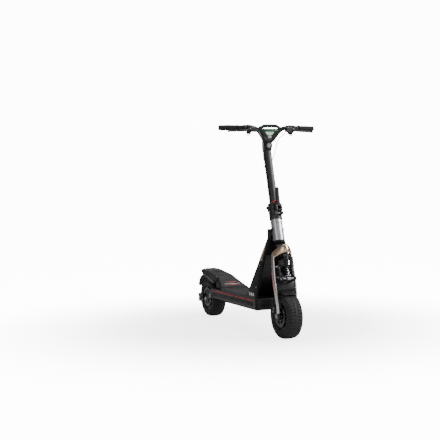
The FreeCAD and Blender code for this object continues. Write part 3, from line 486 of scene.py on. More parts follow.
def brake_disc(prefix, body):
    """A ventilated disc: a wavy outer band held by curved arms."""
    node = prefix + "_brake_disc"
    low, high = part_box(node)
    centre = (low + high) / 2
    outer = (high.z - low.z) / 2
    half = (high.x - low.x) / 2 * 0.9
    bm = bmesh.new()
    around = 180

    def ring(radius_at, x):
        verts = []
        for number in range(around):
            angle = 2 * math.pi * number / around
            r = radius_at(angle)
            verts.append(bm.verts.new((centre.x + x, centre.y + r * math.sin(angle), centre.z + r * math.cos(angle))))
        return verts

    def band(inner_at, outer_at):
        loops = [ring(inner_at, -half), ring(outer_at, -half), ring(outer_at, half), ring(inner_at, half)]
        for a, b in zip(loops, loops[1:] + loops[:1]):
            for i in range(around):
                j = (i + 1) % around
                bm.faces.new((a[i], a[j], b[j], b[i]))

    band(lambda a: outer * (0.735 - 0.012 * math.cos(12 * a)), lambda a: outer * (0.985 + 0.012 * math.cos(12 * a)))
    band(lambda a: outer * 0.315, lambda a: outer * 0.47)
    parts = [bm]
    for number in range(6):
        angle = 2 * math.pi * number / 6
        path = []
        for step in range(9):
            t = step / 8
            a = angle + 0.45 * t * t
            r = outer * (0.42 + 0.36 * t)
            path.append(Vector((centre.x, centre.y + r * math.sin(a), centre.z + r * math.cos(a))))
        parts.append(ribbon(path, 0.0055, half * 2 * 0.95))
    piece(prefix + "_disc_vented", join(*parts), "disc_steel", body, replaces=[node], smooth=False)


def ribbon(path, half_width, thickness):
    """A flat strip lying across X along a path in a plane of constant X."""
    rings = []
    for i, p in enumerate(path):
        ahead = path[min(i + 1, len(path) - 1)] - path[max(i - 1, 0)]
        ahead.normalize()
        side = Vector((0, -ahead.z, ahead.y)) * half_width
        lift = Vector((thickness / 2, 0, 0))
        rings.append([p + side + lift, p - side + lift, p - side - lift, p + side - lift])
    return rings_to_bmesh(rings)


# ---- springs and dampers ----

def coil(name, node, body, start, end, radius, wire, turns):
    """A coil between two seats, its turns spaced a little unevenly along its length."""
    along = end - start
    length = along.length
    along.normalize()
    side = along.orthogonal().normalized()
    other = along.cross(side)
    path = []
    steps = turns * 20
    for step in range(steps + 1):
        t = step / steps
        ease = t + 0.035 * math.sin(2 * math.pi * t)
        angle = 2 * math.pi * turns * t
        path.append(start + along * (wire + (length - 2 * wire) * ease) + (side * math.cos(angle) + other * math.sin(angle)) * radius)
    obj = piece(name, sweep(path, wire, 10), "spring_black", body, replaces=[node])
    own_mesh(obj)
    return obj


# ---- soft contact surfaces ----

def grip(name, node, body, side):
    """A moulded grip: flanged inner end, shallow ribs, a smooth palm band and a rounded bar end."""
    low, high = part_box(node)
    outer_x = high.x if side > 0 else low.x
    along = bar_way(side)
    start = bar_point(side, 94, 0, 0)
    reach = (abs(outer_x) - 0.002 - abs(start.x)) / abs(along.x)
    outline = [(0.0122, 0), (0.0196, 0.0), (0.0204, 0.0015), (0.0196, 0.0042), (0.0172, 0.0052)]
    ribs = 26
    for number in range(ribs):
        at = 0.008 + (reach - 0.022) * number / (ribs - 1)
        swell = 0.0009 * math.sin(math.pi * at / reach)
        for share, lift in ((0.0, 0.0), (0.25, 0.0008), (0.6, 0.0008), (0.85, 0.0)):
            outline.append((0.0160 + swell + lift, at + share * (reach - 0.022) / (ribs - 1)))
    outline += [(0.0166, reach - 0.009), (0.0172, reach - 0.007), (0.0170, reach - 0.002), (0.0155, reach),
                (0.0040, reach + 0.0008), (0.0122, reach - 0.004)]
    bm = lathe(outline, start, along, 48)
    return piece(name, bm, "grip_rubber", body, replaces=[node])


def deck_mat():
    """The deck's rubber mat: rounded corners, a raised rim, and long grooves broken by cross bars."""
    low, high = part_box("deck_mat")
    centre_y = (low.y + high.y) / 2
    half_x, half_y = (high.x - low.x) / 2, (high.y - low.y) / 2
    base, top = low.z, high.z
    cells_x, cells_y = 80, 150
    bm = bmesh.new()
    grid = []
    for j in range(cells_y + 1):
        row = []
        for i in range(cells_x + 1):
            x = -half_x + 2 * half_x * i / cells_x
            y = centre_y - half_y + 2 * half_y * j / cells_y
            edge = min(half_x - abs(x), half_y - abs(y - centre_y))
            rim = step_between(edge, 0.0, 0.003)
            inside = step_between(edge, 0.010, 0.014)
            stripe = math.sin(2 * math.pi * x / 0.0125)
            bars = math.sin(2 * math.pi * (y + 0.35 * abs(x)) / 0.055)
            pattern = step_between(stripe, -0.2, 0.5) * step_between(bars, -0.85, -0.55)
            height = base + (top - base) * (0.25 + 0.75 * rim) - 0.0014 * inside * (1 - pattern)
            row.append(bm.verts.new((x, y, height)))
        grid.append(row)
    for a, b in zip(grid, grid[1:]):
        for i in range(cells_x):
            bm.faces.new((a[i], a[i + 1], b[i + 1], b[i]))
    close_below(bm, base)
    return piece("deck_mat_rubber", bm, "mat_rubber", "frame", replaces=["deck_mat"])


def close_below(bm, base):
    """Walls and a floor under an open sheet, so that it is a closed solid."""
    edges = [e for e in bm.edges if e.is_boundary]
    out = bmesh.ops.extrude_edge_only(bm, edges=edges)
    verts = [v for v in out["geom"] if isinstance(v, bmesh.types.BMVert)]
    for v in verts:
        v.co.z = base
    ring = [e for e in out["geom"] if isinstance(e, bmesh.types.BMEdge)]
    bmesh.ops.contextual_create(bm, geom=ring)


def footrest_mat():
    """The raised footrest's pad, with pressed studs and two accent lines near its foot."""
    low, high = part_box("footrest_pad")
    front, back = low.y, high.y
    rise = (high.z - low.z - 0.003) / (back - front)
    bm = bmesh.new()
    cells_x, cells_y = 64, 60
    grid = []
    for j in range(cells_y + 1):
        row = []
        t = j / cells_y
        y = front + (back - front) * t
        half = 0.094 + (0.056 - 0.094) * t
        floor = low.z + rise * (y - front)
        for i in range(cells_x + 1):
            x = -half + 2 * half * i / cells_x
            edge = min(half - abs(x), y - front, back - y)
            rim = step_between(edge, 0.0, 0.003)
            stud = math.sin(2 * math.pi * x / 0.0105) * math.sin(2 * math.pi * y / 0.0105)
            inside = step_between(edge, 0.008, 0.012)
            crown = 0.0016 * (1 - (x / half) ** 2)
            row.append(bm.verts.new((x, y, floor + 0.0012 + 0.0020 * rim + crown + 0.0007 * inside * step_between(stud, 0.1, 0.5))))
        grid.append(row)
    for a, b in zip(grid, grid[1:]):
        for i in range(cells_x):
            bm.faces.new((a[i], a[i + 1], b[i + 1], b[i]))
    edges = [e for e in bm.edges if e.is_boundary]
    out = bmesh.ops.extrude_edge_only(bm, edges=edges)
    for v in out["geom"]:
        if isinstance(v, bmesh.types.BMVert):
            v.co.z = low.z + rise * (v.co.y - front)
    bmesh.ops.contextual_create(bm, geom=[e for e in out["geom"] if isinstance(e, bmesh.types.BMEdge)])
    piece("footrest_mat", bm, "mat_rubber", "frame", replaces=["footrest_pad"])

    def strip(name, material, y, half, width):
        z = low.z + rise * (y - front) + 0.0052
        path = [Vector((x, y + 0.004 * (x / half) ** 2, z + rise * 0.004 * (x / half) ** 2 - 0.0012 * (x / half) ** 2))
                for x in [half * (k - 8) / 8 for k in range(17)]]
        piece(name, sweep(path, [width * (1 - 0.5 * abs(k - 8) / 8) for k in range(17)], 8, 0.35), material, "frame")
    strip("footrest_line_red", "red_light", front + 0.060, 0.046, 0.0030)
    strip("footrest_line_red_low", "red_light", front + 0.022, 0.055, 0.0018)
    strip("footrest_line_pale", "white_mark", front + 0.036, 0.060, 0.0022)


# ---- front suspension and fork ----

def section_at(height, x_low, x_high, v_low, v_high, crown=0.0, soft=0.30):
    """An eight-cornered section across a fork blade, with its outer face crowned."""
    dx, dv = (x_high - x_low) * soft, (v_high - v_low) * soft
    middle_v = (v_low + v_high) / 2
    return [(x_low + dx, v_low, height), (x_high - dx, v_low, height), (x_high, v_low + dv, height),
            (x_high + crown, middle_v, height), (x_high, v_high - dv, height), (x_high - dx, v_high, height),
            (x_low + dx, v_high, height), (x_low, v_high - dv, height), (x_low, middle_v, height),
            (x_low, v_low + dv, height)]


FORK_STATIONS = [
    (-84, 51.5, 65, -27, 5), (-104, 52.5, 67, -27, 8), (-130, 54, 69.5, -26.5, 11), (-165, 56, 72.5, -25, 12),
    (-200, 58, 75, -24, 12.5), (-250, 59.5, 76, -23, 13), (-300, 60, 76, -22, 14), (-345, 58.5, 74, -18, 16),
    (-385, 56, 71, -12, 20), (-425, 52.2, 67, -5, 28), (-450, 50.2, 63, 6, 41), (-478, 50.2, 62, 13, 46),
    (-490, 51, 61, 19, 40),
]


def fork_blade(side):
    rings = []
    for height, x_low, x_high, v_low, v_high in FORK_STATIONS:
        crown = 2.0 if height > -400 else 0.8
        ring = [steered(side * x, v, w) for w, x, v in [(p[2], p[0], p[1]) for p in section_at(height, x_low, x_high, v_low, v_high, crown)]]
        rings.append(ring if side > 0 else list(reversed(ring)))
    return rings_to_bmesh(rings)


def fork_arch():
    """The bright arch over the damper: it leaves one blade's top, peaks at the front and meets the other."""
    half = [(64, (-24, 4), (-120, -84)), (59, (-36, -12), (-117, -77)), (51, (-48, -30), (-112, -69)),
            (41, (-60, -44), (-107, -61)), (28, (-76, -61), (-102, -54)), (14, (-88, -74), (-98, -47))]
    stations = [(-x, *rest) for x, *rest in half] + [(0, (-92, -78), (-96, -43))] + half[::-1]
    rings = []
    for x, (v_front, v_back), (w_low, w_high) in stations:
        depth, height = v_back - v_front, w_high - w_low
        ring = [(v_front, w_low + 0.14 * height), (v_front - 0.6, w_low + 0.45 * height), (v_front + 0.10 * depth, w_low + 0.80 * height),
                (v_front + 0.32 * depth, w_high - 0.02 * height), (v_back - 0.12 * depth, w_high),
                (v_back, w_high - 0.16 * height), (v_back, w_low + 0.22 * height), (v_back - 0.25 * depth, w_low),
                (v_front + 0.22 * depth, w_low)]
        rings.append([steered(x, v, w) for v, w in ring])
    return rings_to_bmesh(rings)


def fork():
    """Two warm-silver blades that bow outward, under a champagne arch, with the axle clamps at their feet."""
    piece("fork_arch", fork_arch(), "bronze", "fork", replaces=["front_fork"], subdivide=2)
    blades = join(fork_blade(1), fork_blade(-1))
    piece("fork_blades", blades, "fork_silver", "fork", replaces=["front_fork"], subdivide=2)
    parts = []
    low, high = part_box("front_axle")
    axle = (low + high) / 2
    for side in (1, -1):
        ring = [(0.0075, 0.0490), (0.0235, 0.0490), (0.0255, 0.0505), (0.0255, 0.0600), (0.0235, 0.0618), (0.0075, 0.0618)]
        parts.append(lathe(ring, (0, axle.y, axle.z), (side, 0, 0), 56))
        for w in (-458, -438):
            spot = steered(side * 61.6, 30, w)
            parts.append(bolt_head(spot, (side, 0, 0), 0.0045, 0.003))
    piece("fork_axle_clamps", join(*parts), "graphite", "fork", bevel=0.0006)
    plates = []
    for side in (1, -1):
        outline = smooth_outline([(-2, -163), (-26, -160), (-44, -172), (-47, -200), (-44, -228), (-62, -240), (-75, -246),
                                  (-77, -258), (-70, -268), (-30, -268), (-6, -262), (-1, -235)])
        plates.append(prism(outline, 38.2 * side, 46.8 * side, lambda v, w, x: steered(x, v, w)))
        bridge = smooth_outline([(-14, -172), (2, -172), (2, -262), (-14, -262)], 3)
        plates.append(prism(bridge, 46 * side, 62 * side, lambda v, w, x: steered(x, v, w)))
    piece("fork_link_plates", join(*plates), "graphite", "fork", bevel=0.0012)


def smooth_outline(corners, steps=4, softness=0.38):
    """A closed outline with rounded corners, from corner points."""
    count = len(corners)
    outline = []
    for i in range(count):
        a, b, c = Vector(corners[i - 1]), Vector(corners[i]), Vector(corners[(i + 1) % count])
        reach = min((b - a).length, (c - b).length) * softness
        start = b + (a - b).normalized() * reach
        end = b + (c - b).normalized() * reach
        for step in range(steps + 1):
            t = step / steps
            outline.append(tuple(start * (1 - t) ** 2 + b * 2 * t * (1 - t) + end * t * t))
    return outline


def front_damper():
    """The damper's grey reservoir, adjuster rings and the bright bolts of the linkage."""
    seat = steered(0, -62, -128.5)
    foot = steered(0, -62, -237)
    coil("front_coil", "front_spring", "steering", seat, foot, 0.0166, 0.0027, 7)
    ring = [(0.0125, -0.004), (0.0192, -0.004), (0.0200, -0.003), (0.0200, 0.003), (0.0192, 0.004), (0.0125, 0.004)]
    knurl = lathe(ring, steered(0, -62, -134), UP_AXIS, 48)
    piece("damper_preload_ring", knurl, "graphite", "steering")
    tank = [(0.001, 0.0), (0.0125, 0.0), (0.0145, 0.0015), (0.0145, 0.010), (0.0138, 0.0108), (0.0138, 0.052),
            (0.0145, 0.0532), (0.0145, 0.060), (0.0120, 0.0625), (0.001, 0.0625)]
    piece("damper_reservoir", lathe(tank, steered(34.5, -62, -186), UP_AXIS, 48), "graphite", "steering", bevel=0.0003)
    neck = sweep(smooth_path([steered(34.5, -62, -126), steered(27, -64, -119), steered(16, -64, -117)], 6), 0.0052, 12)
    piece("damper_reservoir_neck", neck, "graphite", "steering")
    heads = []
    for v, w in ((52, -155.4), (52, -220.4)):
        for side in (1, -1):
            heads.append(bolt_head(steered(side * 41, v, w), (side, 0, 0), 0.0078, 0.0055))
    piece("knuckle_pin_heads", join(*heads), "bolt_steel", "steering")
    heads = []
    slope = math.radians(13.5)
    for root in (-155.4, -220.4):
        v, w = 52 - 84 * math.cos(slope), root - 84 * math.sin(slope)
        for side in (1, -1):
            heads.append(bolt_head(steered(side * 46.8, v, w), (side, 0, 0), 0.0088, 0.005))
    for side in (1, -1):
        heads.append(bolt_head(steered(side * 46.8, -62, -255), (side, 0, 0), 0.0082, 0.0055))
    piece("fork_pin_heads", join(*heads), "bolt_steel", "fork")
    nuts = []
    low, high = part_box("front_axle")
    for side in (1, -1):
        nuts.append(hex_nut((side * 0.0604, (low.y + high.y) / 2, (low.z + high.z) / 2), (side, 0, 0), 0.0135, 0.0095))
    piece("front_axle_nuts", join(*nuts), "bolt_steel", "fork")


def hex_nut(centre, along, radius, height):
    """A six-sided nut with chamfered corners and the axle's threaded end."""
    along = Vector(along).normalized()
    side = along.orthogonal().normalized()
    other = along.cross(side)
    rings = []
    for r, d, six in ((radius, 0, 1), (radius, height * 0.8, 1), (radius * 0.86, height, 0), (radius * 0.52, height, 0),
                      (radius * 0.50, height * 1.25, 0), (radius * 0.40, height * 1.32, 0)):
        ring = []
        for k in range(36):
            angle = 2 * math.pi * k / 36
            face = math.cos(math.pi / 6) / math.cos((angle % (math.pi / 3)) - math.pi / 6) if six else 0.92
            ring.append(Vector(centre) + along * d + (side * math.cos(angle) + other * math.sin(angle)) * r * face)
        rings.append(ring)
    return rings_to_bmesh(rings)


# ---- stem, collar and latch ----

def oval(half_a, half_b, power=2.4, count=28):
    """A rounded outline between an ellipse and a rectangle."""
    points = []
    for k in range(count):
        angle = 2 * math.pi * k / count
        c, s = math.cos(angle), math.sin(angle)
        points.append((half_a * math.copysign(abs(c) ** (2 / power), c), half_b * math.copysign(abs(s) ** (2 / power), s)))
    return points


def stem_tube():
    """The stem: a round foot, a cone and a tube with softly flattened flanks."""
    stations = [(213.2, 40.0, 40.0, 2.0), (214.2, 41.0, 41.0, 2.0), (225.5, 41.0, 41.0, 2.0), (227.0, 40.0, 40.0, 2.0),
                (228.5, 35.0, 35.0, 2.0), (232, 30.0, 30.0, 2.1), (238, 27.0, 27.2, 2.3), (246, 25.8, 26.0, 2.5),
                (300, 25.2, 25.6, 2.6), (420, 25.0, 25.4, 2.6), (560, 25.0, 25.4, 2.6), (586, 25.0, 25.4, 2.6)]
    rings = [[steered(a, b, w) for a, b in oval(half_x, half_v, power, 48)] for w, half_x, half_v, power in stations]
    piece("stem_column", rings_to_bmesh(rings), "graphite", "stem", replaces=["stem_tube"])
    parts = []
    for side in (1, -1):
        path = [steered(side * 25.35, -4, w) for w in (272, 330, 420, 500, 556)]
        parts.append(sweep(smooth_path(path, 6), 0.0011, 8))
    piece("stem_seams", join(*parts), "plastic_black", "stem")
    hinge = lathe([(0.0052, -0.0113), (0.0105, -0.0113), (0.0112, -0.0105), (0.0112, 0.0105), (0.0105, 0.0113), (0.0052, 0.0113)],
                  steered(0, 52, 213), (1, 0, 0), 40)
    web = prism(smooth_outline([(28, 213.2), (44, 213.2), (52, 206), (60, 213), (52, 223), (38, 227), (28, 227)], 3),
                -11.2, 11.2, lambda v, w, x: steered(x, v, w))
    piece("stem_hinge_knuckle", join(hinge, web), "graphite", "stem", bevel=0.0006)


def collar():
    """The folding collar: clamp slots, bolt holes and the hinge pin's heads."""
    parts = []
    for w in (126.5, 209.5):
        profile = [(0.0398, -0.0016), (0.0413, -0.0010), (0.0413, 0.0010), (0.0398, 0.0016)]
        parts.append(lathe(profile, steered(0, 0, w), UP_AXIS, 72))
    piece("collar_rings", join(*parts), "graphite", "steering")
    wells = []
    for x, w in ((-24, 148), (-24, 186)):
        out = Vector((x, -33, 0)).normalized()
        spot = steered(out.x * 40.1, out.y * 40.1, w)
        facing = (steered(out.x * 41, out.y * 41, w) - spot).normalized()
        ring = [(0.0032, 0.0), (0.0058, 0.0), (0.0062, 0.0012), (0.0036, 0.0012)]
        wells.append(lathe(ring, spot, facing, 24))
        wells.append(bolt_head(spot - facing * 0.0006, facing, 0.0034, 0.0010))
    piece("collar_bolts", join(*wells), "motor_black", "steering")
    heads = []
    for side in (1, -1):
        heads.append(bolt_head(steered(side * 26.8, 52, 213), (side, 0, 0), 0.0080, 0.0024))
        heads.append(bolt_head(steered(side * 27.8, -50, 156), (side, 0, 0), 0.0062, 0.0036))
    piece("hinge_pin_heads", join(*heads), "graphite", "steering")
    seam = [steered(40.4 * math.sin(a), -40.4 * math.cos(a), 168 + 10 * math.sin(a)) for a in [math.radians(t) for t in range(-88, 89, 8)]]
    piece("collar_seam", sweep(seam, 0.0007, 6), "plastic_black", "steering")


def latch():
    """The latch lever: a forked foot around its pin, a hooked bridge and a dished handle."""
    rings = []
    for w, x_half, v_front, v_back in ((200, 19.0, -63.0, -49.0), (212, 16.0, -64.5, -50.0), (226, 14.4, -65.0, -51.5),
                                       (255, 13.4, -66.0, -54.5), (280, 13.0, -68.0, -58.0), (300, 12.6, -71.5, -61.0),
                                       (309, 10.8, -73.0, -63.5), (315, 8.0, -73.5, -66.0)):
        mid, half = (v_front + v_back) / 2, (v_back - v_front) / 2
        rings.append([steered(a, mid + b, w) for a, b in oval(x_half, half, 3.2, 24)])
    cheeks = []
    for side in (1, -1):
        pivot = smooth_outline([(-58, 150), (-50, 147.5), (-42.5, 150), (-42, 172), (-60, 172)], 4)
        cheeks.append(prism(pivot, side * 10.7, side * 18.6, lambda v, w, x: steered(x, v, w)))
        flank = smooth_outline([(-64, 168.5), (-42.5, 168.5), (-42.5, 204), (-49, 210), (-64, 210)], 4)
        cheeks.append(prism(flank, side * 10.4, side * 22.5, lambda v, w, x: steered(x, v, w)))
    bridge = prism(smooth_outline([(-64, 196), (-47, 195), (-47, 213), (-64, 214)], 3), -22.3, 22.3,
                   lambda v, w, x: steered(x, v, w))
    hook = prism(smooth_outline([(-63, 168.5), (-53, 168.5), (-52.5, 179), (-63.5, 180)], 3), -22.3, 22.3,
                 lambda v, w, x: steered(x, v, w))
    piece("latch_handle", join(rings_to_bmesh(rings), *cheeks, bridge, hook), "frame_black", "latch",
          replaces=["latch_lever"], bevel=0.0009)
    slot = prism(rounded_rect(0.0052, 0.030, 0.005, 5), 0.0, 0.0008,
                 lambda a, b, d: steered(a * 1000, -66.0 - 0.09 * (b * 1000) - d * 1000, 258 + b * 1000))
    piece("latch_grip_inlay", slot, "mat_rubber", "latch")


def catch():
    """The red safety catch: a thumb tab with a domed face and fine grip lines."""
    low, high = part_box("safety_catch")
    rings = []
    for depth, shrink in ((0.0, 0.90), (0.8, 0.98), (3.0, 1.0), (6.2, 0.98), (8.6, 0.86), (9.8, 0.60), (10.2, 0.20)):
        rings.append([steered(-15.5 + a, -40.6 - depth, 229 + b) for a, b in oval(10.6 * shrink, 7.6 * shrink, 2.8, 32)])
    parts = [rings_to_bmesh(rings)]
    for number in range(3):
        w = 225.5 + 3.5 * number
        parts.append(sweep([steered(-21.5, -50.2, w), steered(-15.5, -51.0, w), steered(-9.5, -50.2, w)], 0.0006, 8))
    piece("catch_button", join(*parts), "red_paint", "catch", replaces=["safety_catch"])


# ---- handlebar, controls, display ----

BAR_YAW = math.radians(11.53)
BAR_START = Vector((0.117, -0.4034, 1.291))
DROOP = math.radians(25)


def bar_point(side, x, y, z):
    """A point given about the start of the bar's straight end, X running outward, in millimetres."""
    turn = Matrix.Rotation(BAR_YAW, 3, "Z")
    local = turn @ Vector((x, y, z)) / 1000
    return Vector((side * (BAR_START.x + local.x), BAR_START.y + local.y, BAR_START.z + local.z))


def drooped(side, x, y, z):
    """A point on the brake controls, which hang forward and down about the bar."""
    c, s = math.cos(DROOP), math.sin(DROOP)
    return bar_point(side, x, y * c - z * s, y * s + z * c)


def bar_way(side):
    return (bar_point(side, 100, 0, 0) - bar_point(side, 0, 0, 0)).normalized()


def stem_head():
    """The head that joins the stem to the bar: it swells forward around the lamp and spreads into two arms."""
    stations = [(560, 26.6, 26.6, 0, 2.5), (566, 27.8, 28.2, 0, 2.6), (584, 28.2, 30.0, -2, 2.8), (604, 28.2, 33.5, -9, 3.0),
                (624, 28.4, 36.0, -17, 3.2), (642, 29.8, 34.0, -23, 3.2), (656, 30.4, 26.0, -29, 3.0), (664, 26.0, 18.0, -33, 2.6),
                (667, 12.0, 8.0, -35, 2.2)]
    rings = [[steered(a, mid + b, w) for a, b in oval(half_x, half_v, power, 40)]
             for w, half_x, half_v, mid, power in stations]
    piece("head_shell", rings_to_bmesh(rings), "plastic_black", "stem", replaces=["stem_head"], subdivide=1)
    arms = []
    for side in (1, -1):
        path = smooth_path([mm(0, -381, 1214), mm(side * 20, -384, 1218), mm(side * 37, -386, 1233),
                            mm(side * 64, -390, 1266), mm(side * 90, -398, 1286), mm(side * 108, -403.4, 1291)], 10)
        radii = [0.0175 - 0.0048 * step_between(k / (len(path) - 1), 0.1, 1.0) for k in range(len(path))]
        arms.append(sweep(path, radii, 28, 0.92))
    piece("bar_yoke", join(*arms), "plastic_black", "stem")
    lamp = middle("headlight_lens")
    ring = [(0.0160, -0.014), (0.0205, -0.014), (0.0220, -0.004), (0.0220, 0.0025), (0.0208, 0.0045), (0.0166, 0.0040),
            (0.0158, 0.0)]
    piece("lamp_bezel", lathe(ring, lamp, (0, -1, 0), 64), "plastic_black", "stem")
    bowl = [(0.0004, -0.0105), (0.0065, -0.0095), (0.0122, -0.006), (0.0154, 0.0), (0.0158, 0.0), (0.0158, -0.012), (0.0004, -0.012)]
    piece("lamp_reflector", lathe(bowl, lamp, (0, -1, 0), 48), "bolt_steel", "stem")
    dome = [(0.0004, 0.0030), (0.006, 0.0027), (0.0108, 0.0016), (0.0148, -0.0004), (0.0158, -0.0018), (0.0158, -0.003),
            (0.0004, -0.003)]
    piece("lamp_lens", lathe(dome, lamp, (0, -1, 0), 48), "lamp_glass", "stem", replaces=["headlight_lens"])
    prow = smooth_outline([(-50, 655), (-60, 640), (-53, 618), (-46, 620), (-44, 655)], 4)
    piece("lamp_brow", prism(prow, -15, 15, lambda v, w, x: steered(x, v, w)), "graphite", "stem", bevel=0.0025)


def display():
    """The six-sided display: a rim around the see-through upper window, and a pale green screen below it."""
    tilt = Matrix.Translation(mm(0, -383, 1223)) @ Matrix.Rotation(math.radians(17), 4, "X")

    def at(x, z, depth):
        return tilt @ (Vector((x, -depth, z)) / 1000)

    edge = [(15, 0), (81, 63), (76, 78), (42.5, 94.5), (-42.5, 94.5), (-76, 78), (-81, 63), (-15, 0)]
    outer = smooth_outline(edge, 4, 0.14)
    upper = smooth_outline([(54, 66.5), (56, 69.5), (34, 76), (-34, 76), (-56, 69.5), (-54, 66.5)], 4, 0.2)
    lower = smooth_outline([(14.5, 25.5), (38, 51.5), (-38, 51.5), (-14.5, 25.5)], 4)
    rim = framed(outer, [upper, lower], 0.6, 14.4, at)
    piece("display_rim", rim, "green_frame", "stem", replaces=["display_frame"], bevel=0.0008)
    bar = prism(rounded_rect(54, 3.6, 2.5, 3), 14.2, 15.8, lambda a, b, d: at(a, 59.5 + b, d))
    piece("display_green_line", bar, "green_bar", "stem")
    screen = smooth_outline([(14, 25), (37.5, 51), (-37.5, 51), (-14, 25)], 4)
    piece("display_screen", prism(screen, 6, 11.5, lambda a, b, d: at(a, b, d)), "screen_glass", "stem",
          replaces=["display_glass"], bevel=0.0006)
    chin = smooth_outline([(-8, 9), (8, 9), (14.5, 16), (13, 23), (-13, 23), (-14.5, 16)], 4)
    piece("display_chin", prism(chin, 12.5, 17, lambda a, b, d: at(a, b, d)), "silver", "stem", bevel=0.0012)


def framed(outer, windows, near, far, at):
    """A plate with windows, triangulated between two depths."""
    bm = bmesh.new()
    loops = [outer] + windows
    edges = []
    for loop in loops:
        verts = [bm.verts.new(at(a, b, near)) for a, b in loop]
        edges += [bm.edges.new((verts[i], verts[(i + 1) % len(verts)])) for i in range(len(verts))]
    filled = bmesh.ops.triangle_fill(bm, use_beauty=True, edges=edges)
    faces = [f for f in filled["geom"] if isinstance(f, bmesh.types.BMFace)]
    doubled = bmesh.ops.extrude_face_region(bm, geom=faces, use_keep_orig=True)
    shift = at(0, 0, far) - at(0, 0, near)
    for v in doubled["geom"]:
        if isinstance(v, bmesh.types.BMVert):
            v.co += shift
    return bm


def bar_controls(side):
    way = bar_way(side)
    rings = []
    for x, shrink in ((13.2, 0.80), (14.5, 0.95), (17, 1.0), (36, 1.0), (38.5, 0.95), (39.8, 0.80)):
        rings.append([bar_point(side, x, -5 + a * shrink, -20.5 + b * shrink) for a, b in oval(15.6, 18.4, 3.0, 28)])
    pod = rings_to_bmesh(rings)
    clamp = lathe([(0.0124, 0.0145), (0.0188, 0.0145), (0.0198, 0.0155), (0.0198, 0.0360), (0.0188, 0.0370), (0.0124, 0.0370)],
                  bar_point(side, 0, 0, 0), way, 48)
    return [pod, clamp]


def controls():
    pods = bar_controls(1) + bar_controls(-1)
    piece("control_pods", join(*pods), "plastic_black", "stem", replaces=["switch_pods"], subdivide=1)
    sleeves = []
    for side in (1, -1):
        profile = [(0.0124, 0.0405), (0.0170, 0.0405), (0.0182, 0.0420), (0.0182, 0.0600), (0.0172, 0.0620), (0.0158, 0.0640),
                   (0.0158, 0.0880), (0.0152, 0.0900), (0.0124, 0.0900)]
        sleeves.append(lathe(profile, bar_point(side, 0, 0, 0), bar_way(side), 48))
    piece("bar_sleeves", join(*sleeves), "plastic_black", "stem")
    details = []
    fittings = []
    for side in (1, -1):
        for x in (17.5, 35.5):
            details.append(bolt_head(bar_point(side, x, -14, 14.0), (0, -0.6, 0.8), 0.0026, 0.002))
        for x in (19, 31):
            foot = bar_point(side, x, -10, -37.5)
            fittings.append(lathe([(0.0015, 0), (0.0038, 0), (0.0042, 0.003), (0.0042, 0.0085), (0.0030, 0.0105), (0.0030, 0.0135),
                                   (0.0015, 0.0135)], foot, (0.25 * side, -0.1, -1), 20))
    piece("pod_screws", join(*details), "bolt_steel", "stem")
    piece("pod_cable_fittings", join(*fittings), "silver", "stem")
    lids = []
    caps = []
    for side in (1, -1):
        outline = rounded_rect(21.0, 10.5, 4, 4)
        lid_way = (drooped(side, 0, 0, 10) - drooped(side, 0, 0, 0)).normalized()
        lids.append(prism(outline, 12.0, 14.2, lambda a, b, d: drooped(side, -7 + a, -34 + b, d)))
        lids.append(prism(rounded_rect(15, 6, 3, 4), 14.1, 14.9, lambda a, b, d: drooped(side, -7 + a, -34 + b, d)))
        for a in (-17, 17):
            caps.append(bolt_head(drooped(side, -7 + a, -34, 14.1), lid_way, 0.0024, 0.0016))
        caps.append(bolt_head(drooped(side, 24, -40, 10.1), lid_way, 0.0055, 0.0030))
        caps.append(bolt_head(drooped(side, 24, -40, -10.1), -lid_way, 0.0055, 0.0030))
    piece("reservoir_lids", join(*lids), "plastic_black", "stem", bevel=0.0007)
    piece("control_screws", join(*caps), "bolt_steel", "stem")
    for side in (1, -1):
        name = "left" if side > 0 else "right"
        path = smooth_path([(16, -40.5), (26, -38.8), (40, -41), (60, -47), (90, -51.5), (122, -53),
                            (150, -55.5), (163, -58.5), (168, -60.5)], 6)
        rings = []
        total = len(path) - 1
        for k, p in enumerate(path):
            t = k / total
            wide = 6.6 - 2.6 * step_between(t, 0.12, 0.45) + 1.6 * step_between(t, 0.86, 0.97)
            tall = 5.4 + 0.4 * step_between(t, 0.9, 1.0)
            if t > 0.97:
                wide, tall = wide * 0.7, tall * 0.7
            ahead = path[min(k + 1, total)] - path[max(k - 1, 0)]
            across = Vector((-ahead.y, ahead.x)).normalized()
            rings.append([drooped(side, p.x + across.x * a, p.y + across.y * a, b) for a, b in oval(wide, tall, 2.8, 20)])
        piece("lever_" + name, rings_to_bmesh(rings), "frame_black", "lever_" + name,
              replaces=["brake_lever_" + name], subdivide=1)


def hoses():
    """Sleeved brake hoses that sweep from the levers round to the stem."""
    right = smooth_path([drooped(-1, -28, -34, -2), mm(-86, -458, 1234), mm(-62, -442, 1175), mm(-55, -422, 1134),
                         mm(-44, -405, 1098), mm(-27, -388, 1066), mm(-25, -376, 1046)], 10)
    left = smooth_path([drooped(1, -28, -34, -2), mm(74, -456, 1250), mm(47, -438, 1224), mm(38, -420, 1182),
                        mm(31, -406, 1134), mm(26, -390, 1098), mm(24.5, -380, 1078)], 10)
    piece("hose_sleeves", join(sweep(right, 0.0027, 12), sweep(left, 0.0027, 12)), "hose_rubber", "stem", replaces=["brake_hoses"])
    ends = []
    for path, shift in ((right, -1), (left, 1)):
        ends.append(sweep([path[0], path[2]], 0.0042, 12))
        ends.append(sweep([path[-1], path[-4]], 0.0044, 12))
    piece("hose_ferrules", join(*ends), "plastic_black", "stem")


# ---- frame, deck and tail ----

